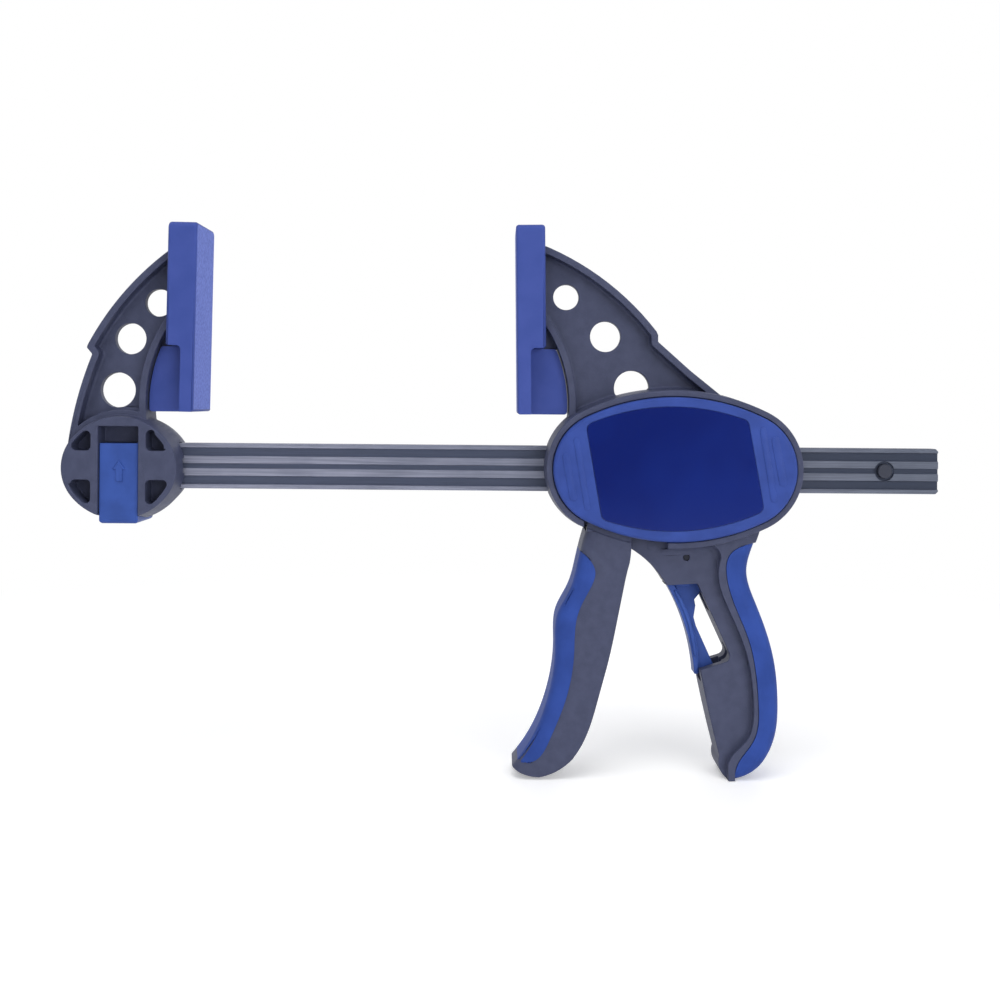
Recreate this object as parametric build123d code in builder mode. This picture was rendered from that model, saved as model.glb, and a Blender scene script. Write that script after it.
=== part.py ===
from build123d import *
import os
from math import atan, cos, degrees, radians, sin, sqrt, tan

# Quick release bar clamp, in millimetres. X runs along the bar from the fixed jaw to the free end,
# Z up towards the jaw tips, and -Y is the front. The origin is on the bar's centreline, level with
# the fixed jaw's clamping face.

os.makedirs("parts", exist_ok=True)

# ---- Driving dimensions ---------------------------------------------------------------------------

# Clearances
FIT = 0.1             # pieces that are fitted together and stay
RUNNING = 0.05        # a pin in the hole that turns on it
SLIDE_GAP = 0.3       # faces that slide or swing past each other
LOOSE = 0.4           # plates on the bar, and the trigger's walls past the body

# Bar
BAR_HEIGHT = 18.0
BAR_THICK = 6.0
BAR_HIDDEN = 46.0     # length of bar behind the fixed jaw's clamping face
BAR_REACH = 293.5     # length of bar in front of it
BAR_GROOVE = 3.6      # bands of the bar's side face; the edge takes what they leave of its height
BAR_RIDGE = 2.6
BAR_CHANNEL = 1.2     # half of the channel in the middle
GROOVE_DEPTH = 0.9
CHANNEL_DEPTH = 0.7
GROOVE_TAPER = 0.4    # slope of a groove's walls, across the band
BAR_CHAMFER = 1.0
STOP_PIN_INSET = 21.4
STOP_PIN_RADIUS = 2.8
STOP_PIN_LENGTH = 8.4
SPOTFACE_RADIUS = 3.9
LOCK_PIN_RADIUS = 2.6
LOCK_PIN_LENGTH = 10.0

# Jaws: the distances behind the clamping face are the same for both
JAW_GAP = 125.4       # opening of the jaws as drawn
TOE_IN = 0.9          # each pad leans in by this angle, so that the tips meet first
FLANGE_WIDTH = 16.0   # I-beam of the jaws, across the clamp
FLANGE_THICK = 2.7
WEB_THICK = 4.4
THROAT_DEPTH = 20.8   # deepest point of the throat behind the clamping face
THROAT_RADIUS = 57.0
THROAT_Z = 25.0       # height of that deepest point
THROAT_FOOT = 14.0
NOSE_TOP = 90.5
NOSE_COVER = 5.2      # pad in front of the jaw's nose

# Pads
PAD_THICK = 11.4
PAD_WIDTH = 32.0
PAD_TOP = 95.5
PAD_STEP = 47.4       # height where the thick block ends
PAD_FOOT = 21.5
PAD_LIP = 5.4         # thickness of the block below the step
PAD_MID = 41.0        # height where the face stands at its nominal place
PAD_SHOULDER = 2.5    # rounding of its top corners, seen along the bar
PAD_EDGE = 1.2
PAD_CORNER = 2.0      # hollow corner under the step
FIN_WIDTH = 9.0
FIN_CLEAR = 0.6       # fin's edge to the throat

# Boss of the fixed jaw, and its button
BOSS_X = 30.2         # centre, behind the clamping face
BOSS_Z = -0.6
BOSS_OFF = 0.3        # its outline's centre, in front of the button's
BOSS_A = 22.6         # outline of its front and back faces: half length, half height, end radius
BOSS_B = 20.0
BOSS_END = 17.6
BOSS_BULGE = 1.6      # the mid-plane stands out of that outline by this
BOSS_WIDTH = 26.0
BOSS_RIM = 2.3
BOSS_RIB = 2.9        # upright rib beside the button
BOSS_BAND = 11.4      # height of the level band across the boss
BOSS_BAND_Z = 0.4
BOSS_FLOOR = 8.0      # width left between the floors of the corner pockets
POCKET_CORNER = 1.6
BUTTON_WIDTH = 15.2
BUTTON_DEPTH = 23.0   # over its front and back faces
BUTTON_TOP = 9.0
BUTTON_FOOT = -22.5
BUTTON_EDGE = 1.4     # rounding of its foot
BUTTON_TRAVEL = 5.5
SLOT_TOP = 15.7
BUTTON_LIP = 2.1

# Moving jaw's body, measured from the centre of its oval
BODY_SETBACK = 61.8   # oval's centre behind the moving clamping face
OVAL_Z = 0.6
OVAL_A = 50.0         # outline of its front and back faces: half length, half height, end radius
OVAL_B = 30.8
OVAL_END = 25.0
OVAL_BULGE = 0.95     # the mid-plane stands out of that outline by this
OVAL_WIDTH = 31.0
OVAL_RIM = 2.3
COVER_SEAT = 1.7      # ledge under the cover's edge
COVER_INSET = 1.5     # depth of the cover's rebate
COVER_THICK = 3.5
COVER_EDGE = 1.4
COVER_GAP = 0.3
BADGE_DEPTH = 0.5
BADGE_THICK = 0.8
BADGE_CORNER = 3.0
GRIP_WIDTH = 26.0
PANEL_WIDTH = 18.8
GRIP_SKIN = 2.8       # thickness of the overmould behind the grip
SKIN_SIDE = 1.5       # thickness of the overmoulds on the handles' sides
SKIN_PROUD = 0.3      # overmoulds stand out of the moulding by this
SKIN_EDGE = 5.0       # rounding of their outer long edges

# Trigger, measured from the oval's centre
TRIGGER_PIVOT = (-22.0, 16.0)
TRIGGER_WALL = 3.2
TRIGGER_FRONT = 4.5   # thickness of its closed front
TRIGGER_HUB = 6.0
TRIGGER_LEDGE = 0.5   # depth of the band under the cover's edge
LEDGE_BAND = 2.0      # height of that band
TRIGGER_PIN_RADIUS = 2.5
NOSE_RADIUS = 3.0     # cross bar that pushes the drive plate
NOSE_DROP = 32.0      # cross bar below the pivot
TRIGGER_SKIN = 2.4

# Plates and springs
PLATE_WIDTH = 13.0
DRIVE_THICK = 4.0
DRIVE_TOP = 12.6
DRIVE_FOOT = -19.0
BRAKE_THICK = 3.0
BRAKE_X = 13.7        # its rocking edge, from the oval's centre
BRAKE_TOP = 15.5
BRAKE_FOOT = -41.5
BRAKE_LEAN = 1.5
BRAKE_TAIL_WIDTH = 8.0
BRAKE_SHOULDER = -20.0
DIVIDER_X = 3.0
DIVIDER_THICK = 3.0
GUIDE_LEFT = -38.0    # inner faces of the bar's two guides
GUIDE_RIGHT = 27.0
DRIVE_WIRE = 1.4
DRIVE_COIL = 11.3
DRIVE_TURNS = 4
BRAKE_WIRE = 1.0
BRAKE_COIL = 3.4
BRAKE_TURNS = 5
BRAKE_SPRING_Z = -14.6
BUTTON_WIRE = 0.7
BUTTON_COIL = 2.3
BUTTON_TURNS = 5
COIL_STEPS = 12       # straights in one turn of a spring
WIRE_SIDES = 6

# Release lever
RELEASE_PIVOT = (5.5, -34.2)
RELEASE_HUB = 4.0
RELEASE_WIDTH = 8.8
RELEASE_WEB = 3.8
RELEASE_PIN_RADIUS = 1.25
RELEASE_FLANGE = 2.9
RELEASE_PIN_SUNK = 0.5
HEEL_TOP = -37.6      # heel that pushes the brake plate's tail
HEEL_FOOT = -41.4
HEEL_NECK = -46.0     # foot of the thick part of the lever's head

# Grip's window and the bays and slots in the body, from the oval's centre
WINDOW_CORNER = 2.6
WINDOW_LIP = 1.2
PANEL_STEP = -2.6
TONGUE_X = -17.0        # front end of the panel, hidden behind the trigger
TRIGGER_BAY = (-36.2, -24.0)   # the bay's far corner in the oval's rim, in front of the trigger
LEFT_OF_GRIP = -40.0           # limits of the areas that divide the grip, outside its outline
BELOW_GRIP = -130.0
MECHANISM_FOOT = -56.0         # foot of the slot for the lever's head
BLADE_SLOT = (20.5, -84.0)     # reach and foot of the slot that takes the blade's flange
BLADE_SLOT_TOP = -74.0
WEB_SLOT_TOP = -69.0
WEB_SLOT_X = 27.0              # reach of the narrower slot that takes its web
PIVOT_BLOCK_X = -16.0   # right side of the block that holds the trigger's pin
ANCHOR_RIGHT = 18.7     # far side of the block that holds the brake plate's top

# ---- Places worked out from them ------------------------------------------------------------------

BODY_X = JAW_GAP + BODY_SETBACK
STOP_PIN_X = BAR_REACH - STOP_PIN_INSET

FIXED = Plane(origin=(0, 0, 0), x_dir=(-1, 0, 0), z_dir=(0, 1, 0))         # x: behind the fixed face
MOVING = Plane(origin=(JAW_GAP, 0, 0), x_dir=(1, 0, 0), z_dir=(0, -1, 0))  # x: behind the moving face
BODY = Plane(origin=(BODY_X, 0, 0), x_dir=(1, 0, 0), z_dir=(0, -1, 0))     # x: from the oval's centre


def throat_point(height):
    """Point of a jaw's throat at a height, as (distance behind the clamping face, height)."""
    centre = THROAT_DEPTH - THROAT_RADIUS
    return (centre + sqrt(THROAT_RADIUS**2 - (height - THROAT_Z) ** 2), height)


def throat_height(distance):
    """Height at which a jaw's throat is at a distance behind the clamping face."""
    centre = THROAT_DEPTH - THROAT_RADIUS
    return THROAT_Z + sqrt(THROAT_RADIUS**2 - (distance - centre) ** 2)


def behind_face(distance, height):
    """Point at a distance behind the leaning clamping face."""
    return (distance - (height - PAD_MID) * tan(radians(TOE_IN)), height)


def brake_face(height):
    """Distance from the oval's centre of the brake plate's front face, at a height."""
    lean = radians(BRAKE_LEAN)
    return BRAKE_X - BRAKE_THICK / 2 / cos(lean) - (BRAKE_TOP - height) * tan(lean)


def arm_face(back_line):
    """Side view of a jaw: throat, nose, then the back edge, whose points the caller gives."""
    nose_foot = throat_height(NOSE_COVER)
    with BuildSketch() as sketch:
        with BuildLine():
            throat = ThreePointArc(
                throat_point(THROAT_FOOT), throat_point(THROAT_Z + 15), throat_point(nose_foot)
            )
            front = Line(throat @ 1, behind_face(NOSE_COVER, NOSE_TOP))
            last = front @ 1
            for stretch in back_line:
                if len(stretch) == 2:
                    last = ThreePointArc(last, stretch[0], stretch[1]) @ 1
                else:
                    last = Line(last, stretch[0]) @ 1
            Line(last, throat @ 0)
        make_face()
    return sketch.sketch


def fixed_arm():
    """Side view of the fixed jaw above its boss, with the step in its back edge."""
    return arm_face(
        [
            ((27.6, 71.0), (43.8, 47.9)),
            ((44.3, 46.6),),
            ((42.1, 44.0),),
            ((47.4, 28.2), (51.5, 8.0)),
        ]
    )


def moving_arm():
    """Side view of the moving jaw above its oval, with the step in its back edge."""
    return arm_face(
        [
            ((32.6, 76.1), (55.1, 54.6)),
            ((55.7, 53.2),),
            ((55.7, 50.6),),
            ((68.7, 39.1),),
            ((80.5, 29.6),),
            ((92.0, 20.0),),
            ((60.0, 5.0),),
        ]
    )


def four_arc_oval(half_length, half_height, end_radius):
    """Oval of four arcs: small ones at the ends, wide ones above and below."""
    to_end = half_length - end_radius
    wide = (to_end**2 + half_height**2 - end_radius**2) / (2 * (half_height - end_radius))
    across = wide * to_end / (wide - end_radius)
    up = (half_height - wide) * (1 - wide / (wide - end_radius))
    with BuildSketch() as sketch:
        with BuildLine():
            ThreePointArc((-across, up), (0, half_height), (across, up))
            ThreePointArc((across, up), (half_length, 0), (across, -up))
            ThreePointArc((across, -up), (0, -half_height), (-across, -up))
            ThreePointArc((-across, -up), (-half_length, 0), (-across, up))
        make_face()
    return sketch.sketch


def boss_face(grow=0.0):
    """Side view of the boss's faces, larger by grow all round."""
    return Location((BOSS_X - BOSS_OFF, BOSS_Z)) * four_arc_oval(BOSS_A + grow, BOSS_B + grow, BOSS_END + grow)


def oval_face(grow=0.0):
    """Side view of the oval body's faces, larger by grow all round."""
    return Location((0, OVAL_Z)) * four_arc_oval(OVAL_A + grow, OVAL_B + grow, OVAL_END + grow)


def draft(bulge, width):
    """Slope of a moulding's side that stands out by bulge in the middle of its width."""
    return degrees(atan(2 * bulge / width))


def arm_pocket(arm, lower_end):
    """Side view of the I-beam's pocket: the arm inside its flange, above its lower end."""
    with BuildSketch() as sketch:
        add(arm)
        offset(amount=-FLANGE_THICK, kind=Kind.ARC, mode=Mode.REPLACE)
        add(lower_end, mode=Mode.SUBTRACT)
    return sketch.sketch


def jaw_pad(jaw_plane):
    """Pad over a jaw's nose. Below the step it thins to a lip, with a narrow fin behind it that
    lies against the jaw's throat."""
    across = -1 if jaw_plane is FIXED else 1
    lean = radians(TOE_IN)
    face_x = jaw_plane.origin.X
    tilted = Plane(
        origin=(face_x, 0, PAD_MID), x_dir=(across * cos(lean), 0, sin(lean)), z_dir=(0, -across, 0)
    )
    with BuildPart() as pad:
        with BuildSketch(tilted.offset(-PAD_WIDTH / 2)):
            with Locations((0, PAD_TOP - PAD_MID)):
                Rectangle(PAD_THICK, PAD_TOP - PAD_STEP, align=(Align.MIN, Align.MAX))
            with Locations((0, PAD_STEP - PAD_MID)):
                Rectangle(PAD_LIP, PAD_STEP - PAD_FOOT, align=(Align.MIN, Align.MAX))
            fillet(vertices().sort_by_distance((PAD_LIP, PAD_STEP - PAD_MID, 0))[0], PAD_CORNER)
        extrude(amount=PAD_WIDTH)
        top_face = pad.faces().sort_by(Axis.Z)[-1]
        fillet(top_face.edges().filter_by(Axis.Y, reverse=True), PAD_SHOULDER)
        flat_faces = pad.faces().filter_by(lambda f: abs(f.normal_at().X) > 0.9).sort_by(SortBy.AREA)
        fillet(flat_faces[-1].edges() + flat_faces[-2].edges(), PAD_EDGE)
        with BuildSketch(jaw_plane.offset(-FIN_WIDTH / 2)):
            with Locations((0, PAD_STEP)):
                Rectangle(THROAT_DEPTH, PAD_STEP - PAD_FOOT, align=(Align.MIN, Align.MAX))
            with Locations((THROAT_DEPTH - THROAT_RADIUS, THROAT_Z)):
                Circle(THROAT_RADIUS - FIN_CLEAR, mode=Mode.INTERSECT)
            fillet(vertices().sort_by(Axis.X)[-2:], PAD_EDGE)
            with Locations((0, PAD_FOOT)):
                Rectangle(PAD_LIP / 2, PAD_STEP, align=(Align.MIN, Align.MIN), mode=Mode.SUBTRACT)
        extrude(amount=FIN_WIDTH)
        with BuildSketch(jaw_plane.offset(-(FLANGE_WIDTH / 2 + FIT))):
            pocket_foot = throat_height(PAD_THICK) - SLIDE_GAP
            with BuildLine():
                Polyline(
                    behind_face(NOSE_COVER - FIT, pocket_foot),
                    behind_face(NOSE_COVER - FIT, NOSE_TOP + FIT),
                    (2 * PAD_THICK, NOSE_TOP + FIT),
                    (2 * PAD_THICK, pocket_foot),
                    close=True,
                )
            make_face()
        extrude(amount=2 * (FLANGE_WIDTH / 2 + FIT), mode=Mode.SUBTRACT)
    return pad.part


def helix_spring(start, end, coil, wire, turns):
    """Compression spring between two points: wire of few flat sides on a helix of short straights."""
    axis = Vector(*end) - Vector(*start)
    length = axis.length - wire
    end_plane = Plane(origin=Vector(*start) + axis.normalized() * (wire / 2), z_dir=axis)
    steps = turns * COIL_STEPS
    points = []
    for step in range(steps + 1):
        angle = radians(step * 360 / COIL_STEPS)
        place = (coil * cos(angle), coil * sin(angle), length * step / steps)
        points.append(end_plane.from_local_coords(place))
    with BuildPart() as spring:
        with BuildLine() as path:
            Polyline(*points)
        with BuildSketch(Plane(origin=points[0], z_dir=path.line % 0)):
            RegularPolygon(wire / 2, WIRE_SIDES)
        sweep(transition=Transition.RIGHT)
    return spring.part


# ---- Bar and its pins -----------------------------------------------------------------------------

with BuildPart() as bar:
    with BuildSketch(Plane.YZ.offset(-BAR_HIDDEN)):
        Rectangle(BAR_THICK, BAR_HEIGHT)
        for side in (-1, 1):
            face = side * BAR_THICK / 2
            floor = side * (BAR_THICK / 2 - GROOVE_DEPTH)
            shallow = side * (BAR_THICK / 2 - CHANNEL_DEPTH)
            for up in (-1, 1):
                outer = up * (BAR_CHANNEL + BAR_RIDGE + BAR_GROOVE)
                inner = up * (BAR_CHANNEL + BAR_RIDGE)
                taper = up * GROOVE_TAPER
                with BuildLine():
                    Polyline(
                        (face, outer),
                        (floor, outer - taper),
                        (floor, inner + taper),
                        (face, inner),
                        close=True,
                    )
                make_face(mode=Mode.SUBTRACT)
            with BuildLine():
                Polyline(
                    (face, BAR_CHANNEL),
                    (shallow, BAR_CHANNEL - GROOVE_TAPER),
                    (shallow, GROOVE_TAPER - BAR_CHANNEL),
                    (face, -BAR_CHANNEL),
                    close=True,
                )
            make_face(mode=Mode.SUBTRACT)
    extrude(amount=BAR_HIDDEN + BAR_REACH)
    chamfer(bar.faces().sort_by(Axis.X)[-1].edges().filter_by(Axis.Y), BAR_CHAMFER)
    for side in (-1, 1):
        with BuildSketch(Plane.XZ.offset(side * (BAR_THICK / 2 - GROOVE_DEPTH))):
            with Locations((STOP_PIN_X, 0)):
                Circle(SPOTFACE_RADIUS)
        extrude(amount=side * GROOVE_DEPTH, mode=Mode.SUBTRACT)
    with BuildSketch(Plane.XZ.offset(-BAR_THICK)):
        with Locations((STOP_PIN_X, 0)):
            Circle(STOP_PIN_RADIUS + RUNNING)
        with Locations((-BOSS_X, 0)):
            Circle(LOCK_PIN_RADIUS + RUNNING)
    extrude(amount=2 * BAR_THICK, mode=Mode.SUBTRACT)
bar.part.label = "bar"

with BuildPart() as stop_pin:
    with BuildSketch(Plane.XZ.offset(-STOP_PIN_LENGTH / 2)):
        with Locations((STOP_PIN_X, 0)):
            Circle(STOP_PIN_RADIUS)
    extrude(amount=STOP_PIN_LENGTH)
    chamfer(stop_pin.edges().filter_by(GeomType.CIRCLE), GROOVE_TAPER)
stop_pin.part.label = "stop_pin"

with BuildPart() as lock_pin:
    with BuildSketch(Plane.XZ.offset(-LOCK_PIN_LENGTH / 2)):
        with Locations((-BOSS_X, 0)):
            Circle(LOCK_PIN_RADIUS)
    extrude(amount=LOCK_PIN_LENGTH)
    chamfer(lock_pin.edges().filter_by(GeomType.CIRCLE), GROOVE_TAPER)
lock_pin.part.label = "lock_pin"

# ---- Fixed jaw: I-beam arm with lightening holes, on a ribbed boss ---------------------------------

FIXED_HOLES = ((17.3, 64.8, 5.5), (28.5, 50.4, 6.2), (33.4, 29.9, 7.0))      # place and radius
SLOT_HALF = BUTTON_WIDTH / 2 + SLIDE_GAP

with BuildPart() as fixed_jaw:
    with BuildSketch(FIXED.offset(-FLANGE_WIDTH / 2)):
        add(fixed_arm())
    extrude(amount=FLANGE_WIDTH)
    for side in (-1, 1):
        with BuildSketch(FIXED.offset(side * WEB_THICK / 2)):
            add(arm_pocket(fixed_arm(), boss_face(grow=FLANGE_THICK)))
        extrude(amount=side * FLANGE_WIDTH / 2, mode=Mode.SUBTRACT)
    for across, up, radius in FIXED_HOLES:
        with BuildSketch(FIXED.offset(-FLANGE_WIDTH)):
            with Locations((across, up)):
                Circle(radius)
        extrude(amount=2 * FLANGE_WIDTH, mode=Mode.SUBTRACT)
    with BuildSketch(FIXED):
        add(boss_face(grow=BOSS_BULGE))
    extrude(amount=BOSS_WIDTH / 2, both=True, taper=draft(BOSS_BULGE, BOSS_WIDTH))
    for side in (-1, 1):
        with BuildSketch(FIXED.offset(side * BOSS_FLOOR / 2)):
            with Locations((BOSS_X - BOSS_OFF, BOSS_Z)):
                Ellipse(BOSS_A - BOSS_RIM, BOSS_B - BOSS_RIM)
            with Locations((BOSS_X, BOSS_BAND_Z)):
                Rectangle(2 * (SLOT_HALF + BOSS_RIB), 4 * BOSS_B, mode=Mode.SUBTRACT)
                Rectangle(4 * BOSS_A, BOSS_BAND, mode=Mode.SUBTRACT)
            fillet(vertices(), POCKET_CORNER)
        extrude(amount=side * BOSS_WIDTH / 2, mode=Mode.SUBTRACT)
        # The button's slot, open at the foot
        with BuildSketch(FIXED.offset(side * BAR_THICK / 2)):
            with Locations((BOSS_X, SLOT_TOP)):
                Rectangle(2 * SLOT_HALF, 3 * BOSS_B, align=(Align.CENTER, Align.MAX))
        extrude(amount=side * BOSS_WIDTH, mode=Mode.SUBTRACT)
    with BuildSketch(FIXED.offset(-BOSS_WIDTH)):
        with Locations((BOSS_X, 0)):
            Rectangle(2 * SLOT_HALF, 3 * BOSS_B, align=(Align.CENTER, Align.MAX))
    extrude(amount=2 * BOSS_WIDTH, mode=Mode.SUBTRACT)
    # The bar's socket, and the channel by which the lock pin leaves
    with BuildSketch(Plane.YZ.offset(-BAR_HIDDEN - SLIDE_GAP)):
        Rectangle(BAR_THICK + 2 * FIT, BAR_HEIGHT + 2 * FIT)
    extrude(amount=BAR_HIDDEN, mode=Mode.SUBTRACT)
    with BuildSketch(Plane.YZ.offset(-BOSS_X)):
        Rectangle(LOCK_PIN_LENGTH + 2 * SLIDE_GAP, 2 * (LOCK_PIN_RADIUS + SLIDE_GAP))
    extrude(amount=BOSS_X, mode=Mode.SUBTRACT)
fixed_jaw.part.label = "fixed_jaw"

fixed_jaw_pad = jaw_pad(FIXED)
fixed_jaw_pad.label = "fixed_jaw_pad"

# ---- Push button in the boss -----------------------------------------------------------------------
# Two plates straddle the bar and are joined below it. The lock pin stands in a notch in each plate;
# with the button pushed up, the notch's foot lies level with the pin and lets it out sideways.

BUTTON_BRIDGE = -BAR_HEIGHT / 2 - BUTTON_TRAVEL - SLIDE_GAP    # top of the block below the bar
PIN_NOTCH = LOCK_PIN_RADIUS + SLIDE_GAP
SPRING_SEAT = BUTTON_FOOT + BUTTON_LIP

with BuildPart() as jaw_button:
    with BuildSketch(FIXED.offset(-BUTTON_DEPTH / 2)):
        with Locations((BOSS_X, BUTTON_TOP)):
            Rectangle(BUTTON_WIDTH, BUTTON_TOP - BUTTON_FOOT, align=(Align.CENTER, Align.MAX))
    extrude(amount=BUTTON_DEPTH)
    foot_face = jaw_button.faces().sort_by(Axis.Z)[0]
    fillet(foot_face.edges(), BUTTON_EDGE)
    with BuildSketch(FIXED.offset(-(BAR_THICK / 2 + 2 * SLIDE_GAP))):
        with Locations((BOSS_X, BUTTON_BRIDGE)):
            Rectangle(2 * BUTTON_WIDTH, 3 * BOSS_B, align=(Align.CENTER, Align.MIN))
    extrude(amount=2 * (BAR_THICK / 2 + 2 * SLIDE_GAP), mode=Mode.SUBTRACT)
    with BuildSketch(FIXED.offset(-(LOCK_PIN_LENGTH / 2 + SLIDE_GAP))):
        with Locations((BOSS_X, PIN_NOTCH)):
            Rectangle(2 * PIN_NOTCH, 2 * PIN_NOTCH + BUTTON_TRAVEL, align=(Align.CENTER, Align.MAX))
        with Locations((BOSS_X, PIN_NOTCH - BUTTON_TRAVEL)):
            Rectangle(2 * BUTTON_WIDTH, 2 * PIN_NOTCH, align=(Align.CENTER, Align.MAX))
    extrude(amount=2 * (LOCK_PIN_LENGTH / 2 + SLIDE_GAP), mode=Mode.SUBTRACT)
    with BuildSketch(Plane.XY.offset(SPRING_SEAT)):
        with Locations((-BOSS_X, 0)):
            Circle(BUTTON_COIL + BUTTON_WIRE / 2 + SLIDE_GAP)
    extrude(amount=BUTTON_BRIDGE - SPRING_SEAT, mode=Mode.SUBTRACT)
jaw_button.part.label = "jaw_button"

jaw_button_spring = helix_spring(
    (-BOSS_X, 0, SPRING_SEAT), (-BOSS_X, 0, -BAR_HEIGHT / 2), BUTTON_COIL, BUTTON_WIRE, BUTTON_TURNS
)
jaw_button_spring.label = "jaw_button_spring"

# ---- Moving jaw, oval body and grip in one moulding -------------------------------------------------


def grip_outline():
    """Side view of the body below the oval, without the release lever's window."""
    with BuildSketch() as sketch:
        with BuildLine():
            arch = ThreePointArc((-17.6, -30.2), (-9.1, -36.4), (-2.1, -45.3))
            lever_side = Line(arch @ 1, (11.2, -78.5))
            front = ThreePointArc(lever_side @ 1, (15.3, -97.4), (19.0, -112.0))
            toe = ThreePointArc(front @ 1, (19.7, -118.3), (22.4, -121.2))
            heel = ThreePointArc(toe @ 1, (31.8, -118.4), (37.5, -112.3))
            back = Spline(
                heel @ 1,
                (41.4, -101.1),
                (41.9, -91.4),
                (40.1, -73.5),
                (32.8, -51.7),
                (29.2, -39.0),
                (32.0, -28.0),
                (34.3, -21.0),
            )
            Polyline(back @ 1, (20.0, -10.0), (-17.0, -10.0), arch @ 0)
        make_face()
    return sketch.sketch


def window_face():
    """Window in the grip, open to the front where the release lever's blade stands."""
    with BuildSketch() as sketch:
        with BuildLine():
            Polyline((-8.0, -45.6), (10.0, -44.5), (23.9, -74.4), (11.4, -78.4), (0.0, -82.2), close=True)
        make_face()
        fillet(vertices().sort_by(Axis.X)[-2:], WINDOW_CORNER)
        fillet(vertices().sort_by(Axis.Y)[1], WINDOW_LIP)
    return sketch.sketch


def panel_face():
    """The grip's sunk panel, which the trigger's walls pass over; its back edge is a raised rim."""
    with BuildSketch() as sketch:
        with BuildLine():
            step = Polyline((LEFT_OF_GRIP, -5.0), (PANEL_STEP, -5.0), (PANEL_STEP, -30.6), (13.0, -28.9))
            corner = ThreePointArc(step @ 1, (17.0, -30.3), (18.5, -34.0))
            rim = Spline(
                corner @ 1,
                (17.8, -43.0),
                (22.9, -56.5),
                (29.3, -73.0),
                (31.7, -89.7),
                (29.0, -105.4),
                (23.2, -111.6),
                (22.0, -118.0),
            )
            Polyline(rim @ 1, (22.0, BELOW_GRIP), (LEFT_OF_GRIP, BELOW_GRIP), (LEFT_OF_GRIP, -5.0))
        make_face()
    return sketch.sketch


def grip_skin_area():
    """Side view of everything behind the front edge of the grip's overmould."""
    with BuildSketch() as sketch:
        with BuildLine():
            edge = Spline(
                (25.6, -124.0),
                (26.5, -113.0),
                (31.7, -105.6),
                (33.6, -90.0),
                (29.4, -65.1),
                (21.1, -42.5),
                (21.8, -33.0),
                (31.0, -28.0),
                (42.0, -26.5),
            )
            right = 2 * OVAL_A
            Polyline(edge @ 1, (right, -26.5), (right, BELOW_GRIP), (25.6, BELOW_GRIP), edge @ 0)
        make_face()
    return sketch.sketch


def grip_spine():
    """The part of the grip that the overmould wraps: its outline moved in from the back."""
    with BuildSketch() as sketch:
        add(grip_outline())
        add(Location((-GRIP_SKIN, GRIP_SKIN)) * grip_outline(), mode=Mode.INTERSECT)
        add(grip_skin_area(), mode=Mode.INTERSECT)
    return sketch.sketch


def blade_front(shift=0.0):
    """Front edge of the release lever's blade, from its hub to its tip."""
    return [
        (-1.6 + shift, -45.6),
        (3.8 + shift, -56.3),
        (8.3 + shift, -71.2),
        (9.7 + shift, -81.0),
    ]


def mechanism_slot():
    """Side view of the slot under the oval for the release lever's head and the brake plate's tail."""
    with BuildSketch() as sketch:
        with BuildLine():
            front = RELEASE_PIVOT[0] - RELEASE_HUB - 2 * LOOSE
            back = BRAKE_X + BRAKE_THICK
            top = -BAR_HEIGHT
            Polyline(
                (front, top),
                (front, RELEASE_PIVOT[1]),
                (blade_front()[0][0] - 2 * SLIDE_GAP, blade_front()[0][1]),
                (blade_front()[1][0] - RELEASE_FLANGE, MECHANISM_FOOT),
                (back, MECHANISM_FOOT),
                (back, top),
                close=True,
            )
        make_face()
    return sketch.sketch


MOVING_HOLES = ((19.5, 68.3, 5.1), (35.3, 52.7, 6.1), (45.9, 32.2, 7.0))     # place and radius
BAR_HOLE = (BAR_THICK + 2 * SLIDE_GAP, BAR_HEIGHT + 2 * SLIDE_GAP)
DRIVE_X = TRIGGER_PIVOT[0] + NOSE_RADIUS + SLIDE_GAP       # drive plate's face towards the trigger

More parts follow.
